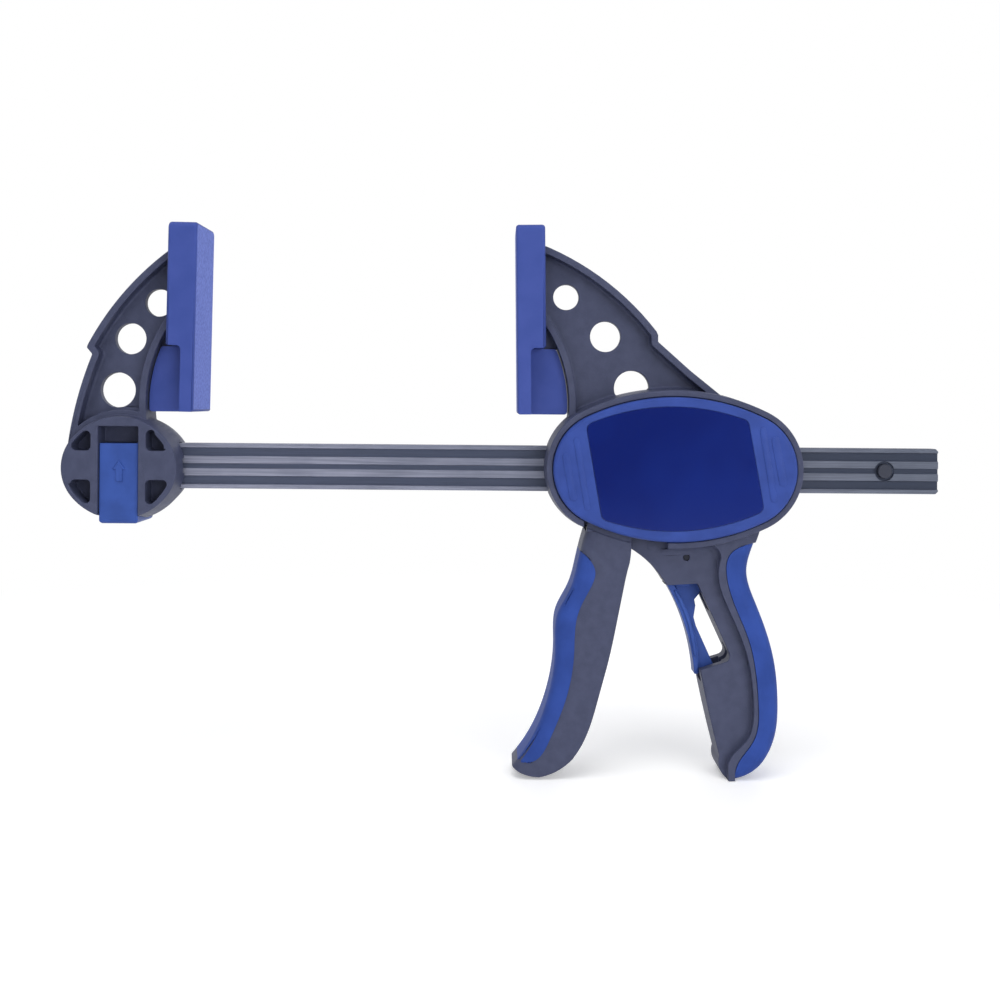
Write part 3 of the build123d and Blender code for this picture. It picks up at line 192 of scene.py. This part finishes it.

# ---- Bar, with its stop pin and lock pin ---------------------------------------------------------
# Rolled steel section, darkened all over and streaked lengthways by drawing. Its ridges are painted pale as
# a painted reflection; its grooves, and the whole bar towards the stop pin, are painted darker as painted
# shade. The pins are turned steel, pressed in, and the stop pin is blackened.

RIDGE_SHEEN_DEPTH = (2.35, 2.85)       # distance from the bar's middle plane, painted shade to painted reflection, in mm
BAR_SHADE_SPAN = (40, 275)            # along the bar, from its palest to its darkest painted shade
BAR_GROOVE_SHADE = ((0.083, 0.1, 0.163), (0.039, 0.05, 0.084))      # painted shade in the grooves, at those two places
BAR_RIDGE_SHEEN = ((0.32, 0.336, 0.44), (0.15, 0.17, 0.225))       # painted reflection on the ridges, at those two places
BAR_STREAK = (0.04, 0.047, 0.072)
BRIGHT_PIN = (0.3, 0.31, 0.34)
BLACK_PIN = (0.045, 0.05, 0.072)
WELD = 0.003                    # corners nearer to each other than this become one, in mm
MERGE_ANGLE = 0.08              # degrees between two faces up to which they become one
MERGE_ANGLE_ROUNDED = 0.8       # the same on a piece whose edges are rounded
HARD_EDGE = 35                  # degrees between two faces from which an edge is rounded
SMOOTH_EDGE = 40                # degrees up to which an edge is shaded smooth
SKIN_NEAR = 0.5                 # edges this near to a soft skin stay as they are, in mm
COVE_SEGMENTS = 5
WALL_UPRIGHT = 0.6              # Y of a wall's normal is less than this
WALL_ABOVE = 0.3                # its middle stands more than this above its foot, in mm
FOOT_NEAR = 0.02                # the ends of an edge at its foot are this near to the level, in mm


def wall_feet(piece, level, end):
    """Keys of the edges at the foot of the walls that stand on a level of |Y|, above a Z, both in mm."""
    near = [abs(abs(v.co.y) / MM - level) < FOOT_NEAR for v in piece.data.vertices]
    feet = set()
    for wall in piece.data.polygons:
        upright = abs(wall.normal.y) < WALL_UPRIGHT
        above = abs(wall.center.y) / MM > level + WALL_ABOVE
        if upright and above and wall.center.z > end * MM:
            feet.update(key for key in wall.edge_keys if all(near[v] for v in key))
    return feet


def dressed(name, body, round_width=0.0, segments=2, skin=None, coves=(), flat_above=None):
    """Closed copy of a CAD solid that stands for it. Where a width is given its hard edges are rounded,
    but not those that lie against the soft skin that is moulded over it. A cove is the concave rounding
    at the foot of the walls that stand on a level, given as level, width and the Z that it ends at. Faces
    above a given area in square mm are shaded flat."""
    piece = bpy.data.objects.new(name + "_form", nodes[name].data.copy())
    bpy.context.scene.collection.objects.link(piece)
    bpy.ops.object.select_all(action="DESELECT")
    piece.select_set(True)
    bpy.context.view_layer.objects.active = piece
    piece.data.materials.clear()
    bpy.ops.object.mode_set(mode="EDIT")
    bpy.ops.mesh.select_all(action="SELECT")
    bpy.ops.mesh.remove_doubles(threshold=WELD * MM)
    merge_angle = MERGE_ANGLE_ROUNDED if round_width else MERGE_ANGLE
    bpy.ops.mesh.dissolve_limited(angle_limit=radians(merge_angle))
    bpy.ops.mesh.select_mode(type="EDGE")
    for level, width, end in coves:
        bpy.ops.mesh.select_all(action="DESELECT")
        bpy.ops.object.mode_set(mode="OBJECT")
        feet = wall_feet(piece, level, end)
        for edge in piece.data.edges:
            edge.select = edge.key in feet
        bpy.ops.object.mode_set(mode="EDIT")
        bpy.ops.mesh.bevel(offset=width * MM, segments=COVE_SEGMENTS, clamp_overlap=False)
    if round_width:
        bpy.ops.mesh.select_all(action="DESELECT")
        bpy.ops.mesh.edges_select_sharp(sharpness=radians(HARD_EDGE))
        bpy.ops.object.mode_set(mode="OBJECT")
        for edge in piece.data.edges:
            middle = sum((piece.data.vertices[v].co for v in edge.vertices), Vector()) / 2
            if skin and edge.select:
                near = nodes[skin].closest_point_on_mesh(middle, distance=SKIN_NEAR * MM)
                edge.select = not near[0]
        bpy.ops.object.mode_set(mode="EDIT")
        bpy.ops.mesh.bevel(
            offset=round_width * MM, segments=segments, clamp_overlap=False, miter_outer="ARC")
    bpy.ops.mesh.select_mode(type="VERT")
    bpy.ops.object.mode_set(mode="OBJECT")
    bpy.ops.object.shade_smooth_by_angle(angle=radians(SMOOTH_EDGE))
    if flat_above:
        for face in piece.data.polygons:
            face.use_smooth = face.area < flat_above * MM * MM
    else:
        flats = piece.modifiers.new("flats", "WEIGHTED_NORMAL")
        flats.keep_sharp = True
        bpy.ops.object.modifier_apply(modifier="flats")
    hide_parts(name)
    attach(piece, body)
    return piece


def finish(name, colour, roughness, metallic=0.0):
    """New principled material with its plain values on the shader; gives material, tree and shader."""
    material = bpy.data.materials.new(name)
    material.use_nodes = True
    tree = material.node_tree
    shader = tree.nodes["Principled BSDF"]
    shader.inputs["Base Color"].default_value = (*colour, 1)
    shader.inputs["Roughness"].default_value = roughness
    shader.inputs["Metallic"].default_value = metallic
    return material, tree, shader


def noise(tree, scale, detail=2.0, stretch=(1, 1, 1)):
    """Noise on the piece's own coordinates; scale is in waves per metre."""
    place = tree.nodes.new("ShaderNodeTexCoord").outputs["Object"]
    mapping = tree.nodes.new("ShaderNodeMapping")
    mapping.inputs["Scale"].default_value = stretch
    texture = tree.nodes.new("ShaderNodeTexNoise")
    texture.inputs["Scale"].default_value = scale
    texture.inputs["Detail"].default_value = detail
    tree.links.new(place, mapping.inputs["Vector"])
    tree.links.new(mapping.outputs[0], texture.inputs["Vector"])
    return texture.outputs["Fac"]


def remap(tree, value, low, high, to_low, to_high):
    """Map Range of a socket, clamped; gives its output socket."""
    node = tree.nodes.new("ShaderNodeMapRange")
    for socket, number in zip(node.inputs[1:5], (low, high, to_low, to_high)):
        socket.default_value = number
    tree.links.new(value, node.inputs["Value"])
    return node.outputs[0]


def blend_colours(tree, factor, first, second):
    """Mix of two colours, each a socket or three numbers; gives its output socket."""
    node = tree.nodes.new("ShaderNodeMix")
    node.data_type = "RGBA"
    for socket, value in ((node.inputs[6], first), (node.inputs[7], second)):
        if isinstance(value, tuple):
            socket.default_value = (*value, 1)
        else:
            tree.links.new(value, socket)
    tree.links.new(factor, node.inputs[0])
    return node.outputs[2]


def bump(tree, shader, height, distance, strength=1.0):
    """Bump of a height socket; distance in mm."""
    node = tree.nodes.new("ShaderNodeBump")
    node.inputs["Distance"].default_value = distance * MM
    node.inputs["Strength"].default_value = strength
    tree.links.new(height, node.inputs["Height"])
    tree.links.new(node.outputs[0], shader.inputs["Normal"])


bar_steel, tree, shader = finish("bar_steel", BAR_GROOVE_SHADE[0], 0.42, 0.35)
place = tree.nodes.new("ShaderNodeTexCoord").outputs["Object"]
split = tree.nodes.new("ShaderNodeSeparateXYZ")
tree.links.new(place, split.inputs[0])
# Painted shade: the bar is painted darker towards the stop pin's end.
shade_along = remap(tree, split.outputs["X"], BAR_SHADE_SPAN[0] * MM, BAR_SHADE_SPAN[1] * MM, 0, 1)
# Painted reflection on the ridges, painted shade in the grooves, by distance from the middle plane.
depth = math_node(tree, "ABSOLUTE", split.outputs["Y"], 0)
sheen_share = remap(tree, depth, RIDGE_SHEEN_DEPTH[0] * MM, RIDGE_SHEEN_DEPTH[1] * MM, 0, 1)
streaks = noise(tree, 1400, 4, (0.03, 1, 1))
patches = noise(tree, 60, 3)
sheen_share = math_node(tree, "MULTIPLY", sheen_share, remap(tree, patches, 0.3, 0.6, 0.75, 1.0))
groove_shade_tone = blend_colours(tree, shade_along, *BAR_GROOVE_SHADE)
ridge_sheen_tone = blend_colours(tree, shade_along, *BAR_RIDGE_SHEEN)
colour = blend_colours(tree, sheen_share, groove_shade_tone, ridge_sheen_tone)
darker = remap(tree, streaks, 0.35, 0.65, 0.0, 0.35)
colour = blend_colours(tree, darker, colour, BAR_STREAK)
tree.links.new(colour, shader.inputs["Base Color"])
tree.links.new(remap(tree, streaks, 0.3, 0.7, 0.32, 0.52), shader.inputs["Roughness"])
bump(tree, shader, streaks, 0.02, 0.5)
bar_form = dressed("bar", "clamp_bar", round_width=0.18)
bar_form.data.materials.append(bar_steel)

turned_steel, tree, shader = finish("turned_steel", BRIGHT_PIN, 0.35, 0.85)
rings = noise(tree, 3000, 2, (1, 0.15, 1))
tree.links.new(remap(tree, rings, 0.3, 0.7, 0.28, 0.45), shader.inputs["Roughness"])
bump(tree, shader, rings, 0.01, 0.5)
black_pin, tree, shader = finish("black_pin", BLACK_PIN, 0.4, 0.3)
faced = noise(tree, 900, 3, (1, 0.2, 1))
tree.links.new(remap(tree, faced, 0.3, 0.7, 0.3, 0.5), shader.inputs["Roughness"])
bump(tree, shader, faced, 0.02, 0.5)
for name, steel in (("stop_pin", black_pin), ("lock_pin", turned_steel)):
    pin = dressed(name, "clamp_bar", round_width=0.15)
    pin.data.materials.append(steel)

# The stop pin stands in a shallow spotface that is cut through the ridges, on both sides.
SPOTFACE = (272.0, 3.7, 2.3)    # place along the bar, radius, half the thickness that is left
CUTTER_HALF = 2                 # half the length of the cylinder that cuts it
for side in (-1, 1):
    bpy.ops.mesh.primitive_cylinder_add(
        vertices=48, radius=SPOTFACE[1] * MM, depth=2 * CUTTER_HALF * MM, rotation=(radians(90), 0, 0),
        location=(SPOTFACE[0] * MM, side * (SPOTFACE[2] + CUTTER_HALF) * MM, 0))
    cutter = bpy.context.object
    cut = bar_form.modifiers.new("spotface", "BOOLEAN")
    cut.operation = "DIFFERENCE"
    cut.object = cutter
    bpy.context.view_layer.objects.active = bar_form
    bpy.ops.object.modifier_apply(modifier="spotface")
    bpy.data.objects.remove(cutter)

# ---- Fixed jaw -----------------------------------------------------------------------------------
# One moulding of glass-filled nylon: an I-beam with lightening holes on a ribbed boss. Its surface has
# a fine spark-eroded grain and faint flow marks.

NYLON = (0.054, 0.062, 0.113)
WEB_HALF = 2.2                  # half the web's thickness
FIXED_JAW_COVES = ((WEB_HALF, 1.1, 0),)
FORM_SMOOTH = 30                # degrees up to which an edge of a flat form is shaded smooth


def nylon_finish(name, colour):
    """Grained dark nylon with faint flow marks."""
    material, tree, shader = finish(name, colour, 0.5)
    shader.inputs["Specular IOR Level"].default_value = 0.25
    grain = noise(tree, 3400, 3)
    flow = noise(tree, 240, 4)
    pale = tuple(1.08 * c + 0.002 for c in colour)
    dark = tuple(0.93 * c for c in colour)
    tone = blend_colours(tree, remap(tree, flow, 0.35, 0.65, 0, 1), dark, pale)
    specks = remap(tree, grain, 0.56, 0.7, 0.0, 0.3)
    tone = blend_colours(tree, specks, tone, tuple(1.5 * c for c in colour))
    tree.links.new(tone, shader.inputs["Base Color"])
    tree.links.new(remap(tree, grain, 0.3, 0.7, 0.42, 0.6), shader.inputs["Roughness"])
    bump(tree, shader, grain, 0.03, 0.6)
    return material


filled_nylon = nylon_finish("filled_nylon", NYLON)
fixed_jaw = dressed(
    "fixed_jaw", "clamp_bar", round_width=0.4, segments=3, coves=FIXED_JAW_COVES)
fixed_jaw.data.materials.append(filled_nylon)

# Each of the boss's four pockets is larger towards the rim, from a place near its inner corner.
BOSS_MIDDLE = Vector((-30.5, -0.6))
POCKET_REACH = 19.75            # what lies further than this from the boss's middle stays
POCKET_FLOOR = 3.9              # just under the pockets' floors, from the clamp's middle plane
POCKET_SLACK = 0.5              # what lies less than this inwards of the place still moves
POCKETS = (                     # X and Z of the place, and growth
    (-41.0, 5.9, 1.14), (-20.0, 5.9, 1.14), (-41.0, -7.4, 1.08), (-20.0, -7.4, 1.03))
for corner_x, corner_z, growth in POCKETS:
    way = Vector((corner_x, corner_z)) - BOSS_MIDDLE
    for vertex in fixed_jaw.data.vertices:
        spot = Vector((vertex.co.x, vertex.co.z)) / MM
        place = spot - Vector((corner_x, corner_z))
        outward_x = place.x * way.x > -POCKET_SLACK * abs(way.x)
        outward_z = place.y * way.y > -POCKET_SLACK * abs(way.y)
        within = (spot - BOSS_MIDDLE).length < POCKET_REACH
        if outward_x and outward_z and within and abs(vertex.co.y) > POCKET_FLOOR * MM:
            vertex.co.x = (corner_x + growth * place.x) * MM
            vertex.co.z = (corner_z + growth * place.y) * MM


def flat_form(name, outline, low, high, body, slot, material, round_width=0.0):
    """Flat piece between two levels of Y with an outline of (X, Z) points, all in mm. Its outer face is
    rounded where a width is given."""
    bpy.ops.object.select_all(action="DESELECT")
    bpy.ops.mesh.primitive_circle_add(vertices=len(outline), fill_type="NGON")
    piece = bpy.context.object
    piece.name = name
    for corner, (x, z) in zip(piece.data.vertices, outline):
        corner.co = (x * MM, low * MM, z * MM)
    bpy.ops.object.mode_set(mode="EDIT")
    bpy.ops.mesh.select_all(action="SELECT")
    bpy.ops.mesh.extrude_region_move(TRANSFORM_OT_translate={"value": (0, (high - low) * MM, 0)})
    if round_width:
        bpy.ops.mesh.region_to_loop()
        bpy.ops.mesh.bevel(offset=round_width * MM, segments=3)
    bpy.ops.mesh.select_all(action="SELECT")
    bpy.ops.mesh.normals_make_consistent(inside=False)
    bpy.ops.object.mode_set(mode="OBJECT")
    bpy.ops.object.transform_apply(location=True, rotation=True, scale=True)
    bpy.ops.object.shade_smooth_by_angle(angle=radians(FORM_SMOOTH))
    piece.data.materials.append(material)
    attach(piece, body)


# The jaw's web goes on through the throat, up to the pad.
NOSE_WEB = ((9.6, 57.0), (12.8, 54.6), (14.5, 51.2), (16.5, 47.4), (9.6, 47.4))
flat_form(
    "fixed_jaw_nose", [(-x, z) for x, z in NOSE_WEB], -WEB_HALF, WEB_HALF, "clamp_bar", "filled_nylon",
    filled_nylon)

# ---- Pads ----------------------------------------------------------------------------------------
# Soft blue caps pushed over the jaws' noses. The sides are smooth; the clamping face has a fine mottled
# stipple for grip and is painted paler than the sides, a painted sheen.

PAD_BLUE = (0.041, 0.07, 0.29)
PAD_CLOUDS = ((0.038, 0.066, 0.278), (0.045, 0.074, 0.302))
# The clamping face's colours are painted paler than the sides' as a painted sheen; the mottle is its
# stipple.
PAD_FACE_SHEEN_BLUE = (0.084, 0.136, 0.505)
PAD_MOTTLE_AND_SHEEN = ((0.057, 0.104, 0.44), (0.112, 0.168, 0.57))
PAD_FLAT_ABOVE = 90             # faces larger than this are shaded flat, in square mm
PAD_FACE_TURN = 0.97            # X of the clamping face's normal is more than this
PAD_FACE_DEPTH = 3              # it lies within this of the pad's foremost point, in mm

pad_side, tree, shader = finish("pad_side", PAD_BLUE, 0.5)
shader.inputs["Specular IOR Level"].default_value = 0.25
cloud = noise(tree, 140, 3)
tone = blend_colours(tree, remap(tree, cloud, 0.35, 0.65, 0, 1), *PAD_CLOUDS)
tree.links.new(tone, shader.inputs["Base Color"])
bump(tree, shader, noise(tree, 3500, 2), 0.015, 0.5)
# Clamping face: painted paler than the sides, a painted sheen, with the stipple's mottle.
pad_face, tree, shader = finish("pad_face", PAD_FACE_SHEEN_BLUE, 0.62)
mottle = noise(tree, 900, 5)
tone = blend_colours(tree, remap(tree, mottle, 0.38, 0.62, 0, 1), *PAD_MOTTLE_AND_SHEEN)
tree.links.new(tone, shader.inputs["Base Color"])
bump(tree, shader, noise(tree, 900, 4), 0.12, 0.8)
for name, body in (("fixed_jaw_pad", "clamp_bar"), ("moving_jaw_pad", "moving_jaw")):
    pad = dressed(name, body, flat_above=PAD_FLAT_ABOVE)
    pad.data.materials.append(pad_side)
    pad.data.materials.append(pad_face)
    towards = 1 if body == "clamp_bar" else -1
    edge = max(towards * v.co.x for v in pad.data.vertices)
    for face in pad.data.polygons:
        faces_work = towards * face.normal.x > PAD_FACE_TURN
        if faces_work and towards * face.center.x > edge - PAD_FACE_DEPTH * MM:
            face.material_index = 1

# ---- Push button ---------------------------------------------------------------------------------
# Blue moulded slider in the boss, with a raised arrow that shows which way it is pushed, on a small
# coil spring of bright wire.

PLASTIC_BLUE = (0.034, 0.077, 0.305)
WIRE_GREY = (0.5, 0.5, 0.53)


def blue_finish(name, colour, roughness):
    """Smooth blue plastic with faint clouding."""
    material, tree, shader = finish(name, colour, roughness)
    shader.inputs["Specular IOR Level"].default_value = 0.2
    cloud = noise(tree, 110, 3)
    dark = tuple(0.9 * c for c in colour)
    pale = tuple(1.1 * c for c in colour)
    tone = blend_colours(tree, remap(tree, cloud, 0.35, 0.65, 0, 1), dark, pale)
    tree.links.new(tone, shader.inputs["Base Color"])
    bump(tree, shader, noise(tree, 3200, 2), 0.012, 0.4)
    return material


blue_plastic = blue_finish("blue_plastic", PLASTIC_BLUE, 0.42)
button = dressed("jaw_button", "button", round_width=0.3, segments=3)
button.data.materials.append(blue_plastic)
ARROW = (
    (-30.0, 2.3), (-27.6, -1.2), (-28.7, -1.2), (-28.7, -5.9), (-31.4, -5.9), (-31.4, -1.2), (-32.5, -1.2))
ARROW_LEVELS = (-11.4, -12.05)     # from under the button's face to the arrow's top
flat_form(
    "button_arrow", ARROW, *ARROW_LEVELS, "button", "blue_plastic", blue_plastic, round_width=0.25)

spring_wire, tree, shader = finish("spring_wire", WIRE_GREY, 0.32, 0.9)
drawn = noise(tree, 2500, 2)
tree.links.new(remap(tree, drawn, 0.3, 0.7, 0.25, 0.42), shader.inputs["Roughness"])
nodes["jaw_button_spring"].data.materials.clear()
nodes["jaw_button_spring"].data.materials.append(spring_wire)

# ---- Housing -------------------------------------------------------------------------------------
# The moving jaw, the oval body and the grip are one moulding of the same nylon as the fixed jaw. It slides
# on the bar and holds the mechanism, and its walls stand on rounded feet.

PANEL_HALF = 9.4             # half the width of the grip between its two sunk panels
HOUSING_COVES = ((WEB_HALF, 1.2, 0), (PANEL_HALF, 2.8, -104))
housing = dressed(
    "housing", "moving_jaw", round_width=0.35, skin="body_grip", coves=HOUSING_COVES)
housing.data.materials.append(filled_nylon)

# The rim's lower end reaches on, to just short of the trigger.
RIM_END_X = (150.6, 151.05)
RIM_END_Z = (-22.2, -16.9)
RIM_INSIDE = 13              # the end lies further out than this from the clamp's middle plane
RIM_LONGER = Vector((0.95, 0, -0.4))
for vertex in housing.data.vertices:
    x, y, z = vertex.co / MM
    if RIM_END_X[0] < x < RIM_END_X[1] and RIM_END_Z[0] < z < RIM_END_Z[1] and abs(y) > RIM_INSIDE:
        vertex.co += RIM_LONGER * MM

# This jaw's web goes on up to its pad too.
GAP = 125.4                  # between the two pads' faces
flat_form(
    "moving_jaw_nose", [(GAP + x, z) for x, z in NOSE_WEB], -WEB_HALF, WEB_HALF, "moving_jaw",
    "filled_nylon", filled_nylon)

# ---- Grip's overmould, covers and badges ---------------------------------------------------------
# Soft blue skin moulded over the grip's back; blue covers snapped into the oval's rim, each with a bare
# glossy navy plate glued into its seat.

RUBBER_BLUE = (0.028, 0.064, 0.28)
COVER_BLUE = (0.03, 0.062, 0.275)
blue_rubber = blue_finish("blue_rubber", RUBBER_BLUE, 0.55)
blue_rubber.node_tree.nodes["Principled BSDF"].inputs["Specular IOR Level"].default_value = 0.12
body_grip = dressed("body_grip", "moving_jaw")
body_grip.data.materials.append(blue_rubber)
cover_blue = blue_finish("cover_blue", COVER_BLUE, 0.42)
for name in ("front_cover", "rear_cover"):
    cover = dressed(name, "moving_jaw", round_width=0.2)
    cover.data.materials.append(cover_blue)

# Each cover has four raised loops for the fingers, and the grip's panel a faint round mark.
BODY_X = 187.2               # the oval's middle; the rear's loops are the front's, turned round it
LOOPS = (                    # top and foot of the middle line, and width
    ((144.6, 5.3), (147.5, -10.3), 2.7),
    ((148.7, 11.5), (153.05, -14.2), 2.3),
    ((220.8, 16.1), (225.2, -10.5), 2.4),
    ((225.7, 12.2), (228.75, -3.9), 3.1),
)
LOOP_LEVELS = (17.4, 17.75)  # from under the cover's face to the loop's top
MARK_PLACE = (179.1, -29.8)
MARK_WIDTH = 3.9
MARK_LEVELS = (9.3, 9.52)    # from under the panel's face to the mark's top
RING_STEPS = 24


def ring_outline(top, foot, width):
    """Outline round a middle line, or round a place where top and foot are the same."""
    top, foot = Vector(top), Vector(foot)
    lean = (top - foot).angle_signed(Vector((0, 1)), 0) if top != foot else 0
    outline = []
    for step in range(RING_STEPS):
        turn = radians((step + 0.5) * 360 / RING_STEPS)
        middle = top if sin(turn) > 0 else foot
        x, z = width / 2 * cos(turn), width / 2 * sin(turn)
        outline.append(
            (middle.x + x * cos(lean) - z * sin(lean), middle.y + x * sin(lean) + z * cos(lean)))
    return outline


for number, (top, foot, width) in enumerate(LOOPS):
    outline = ring_outline(top, foot, width)
    turned = [(2 * BODY_X - x, z) for x, z in outline]
    for side, name, shape in ((-1, "front_loop_%d", outline), (1, "rear_loop_%d", turned)):
        low, high = (side * level for level in LOOP_LEVELS)
        flat_form(
            name % number, shape, low, high, "moving_jaw", "blue_plastic", cover_blue, round_width=0.1)
for side, name in ((-1, "front_loop_4"), (1, "rear_loop_4")):
    low, high = (side * level for level in MARK_LEVELS)
    outline = ring_outline(MARK_PLACE, MARK_PLACE, MARK_WIDTH)
    flat_form(
        name, outline, low, high, "moving_jaw", "filled_nylon", filled_nylon, round_width=0.1)

NAVY = (0.0015, 0.012, 0.14)
NAVY_CLOUDS = ((0.001, 0.009, 0.12), (0.002, 0.014, 0.155))
navy_gloss, tree, shader = finish("navy_gloss", NAVY, 0.16)
shader.inputs["Coat Weight"].default_value = 0.2
shader.inputs["Coat Roughness"].default_value = 0.08
depth_tone = noise(tree, 30, 2)
tone = blend_colours(tree, remap(tree, depth_tone, 0.35, 0.65, 0, 1), *NAVY_CLOUDS)
tree.links.new(tone, shader.inputs["Base Color"])
for name in ("front_badge", "rear_badge"):
    badge = dressed(name, "moving_jaw", round_width=0.12)
    badge.data.materials.append(navy_gloss)

# ---- Trigger -------------------------------------------------------------------------------------
# Nylon channel with legs that straddle the bar, its front wrapped in the same blue skin, on a steel pin.
# The skin is thin over the core's corners, so the core has the skin's colour where it lies under it.

CORE_NEAR = 0.2              # faces this near to the skin lie under it, in mm
# The release pin is painted darker than blackened steel, as painted shade of its hole.
DARK_PIN = (0.016, 0.018, 0.03)
trigger = dressed("trigger", "trigger", round_width=0.35, skin="trigger_grip")
trigger.data.materials.append(filled_nylon)
trigger.data.materials.append(blue_rubber)
for face in trigger.data.polygons:
    if nodes["trigger_grip"].closest_point_on_mesh(face.center, distance=CORE_NEAR * MM)[0]:
        face.material_index = 1
trigger_grip = dressed("trigger_grip", "trigger")
trigger_grip.data.materials.append(blue_rubber)

# The trigger's pin is bright and hidden. The release lever's pin shows at both ends; it is blackened and
# painted darker still, as painted shade of its hole.
dark_pin, tree, shader = finish("dark_pin", DARK_PIN, 0.55)
shader.inputs["Specular IOR Level"].default_value = 0.3
bump(tree, shader, noise(tree, 1200, 3), 0.02, 0.5)
for name, steel in (("trigger_pin", turned_steel), ("release_pin", dark_pin)):
    pin = dressed(name, "moving_jaw", round_width=0.15)
    pin.data.materials.append(steel)

# ---- Plates and springs --------------------------------------------------------------------------
# Two hardened and ground steel plates round the bar, inside the body. The trigger pushes one to draw the
# jaw on, against a coil round the bar. The other jams on the bar until the release lever's heel straightens
# it, against a small coil under the bar. Both coils are of the same bright wire as the button's.

GROUND_GREY = (0.33, 0.34, 0.37)
ground_steel, tree, shader = finish("ground_steel", GROUND_GREY, 0.36, 0.9)
scratches = noise(tree, 1800, 3, (0.1, 1, 1))
tree.links.new(remap(tree, scratches, 0.3, 0.7, 0.28, 0.46), shader.inputs["Roughness"])
for name, body in (("drive_plate", "drive"), ("brake_plate", "brake")):
    plate = dressed(name, body, round_width=0.25)
    plate.data.materials.append(ground_steel)
for name in ("drive_spring", "brake_spring"):
    nodes[name].data.materials.clear()
    nodes[name].data.materials.append(spring_wire)

# ---- Release lever -------------------------------------------------------------------------------
# Blade of blue plastic in the grip's window, moulded in a T section with its flange in front and a
# rounded rib down each side of the flange. It turns on the blackened pin.

lever = dressed("release_lever", "release", round_width=0.3, segments=3)
lever.data.materials.append(blue_plastic)

RIB_LINE = (
    (188.9, -47.8), (191.3, -52.2), (193.4, -56.9), (195.0, -61.6), (196.0, -66.4), (196.8, -70.8),
    (197.3, -73.9))
RIB_HALF_WIDTH = 0.75
RIB_END_HALF_WIDTH = 0.5
RIB_LEVELS = (4.3, 5.05)     # from under the flange's side to the rib's top
last = len(RIB_LINE) - 1
one_edge, other_edge = [], []
for number, place in enumerate(RIB_LINE):
    along = Vector(RIB_LINE[min(number + 1, last)]) - Vector(RIB_LINE[max(number - 1, 0)])
    half_width = RIB_HALF_WIDTH if 0 < number < last else RIB_END_HALF_WIDTH
    aside = Vector((along.y, -along.x)).normalized() * half_width
    one_edge.append(Vector(place) + aside)
    other_edge.insert(0, Vector(place) - aside)
for side, name in ((-1, "front_rib"), (1, "rear_rib")):
    low, high = (side * level for level in RIB_LEVELS)
    flat_form(
        name, one_edge + other_edge, low, high, "release", "blue_plastic", blue_plastic, round_width=0.4)
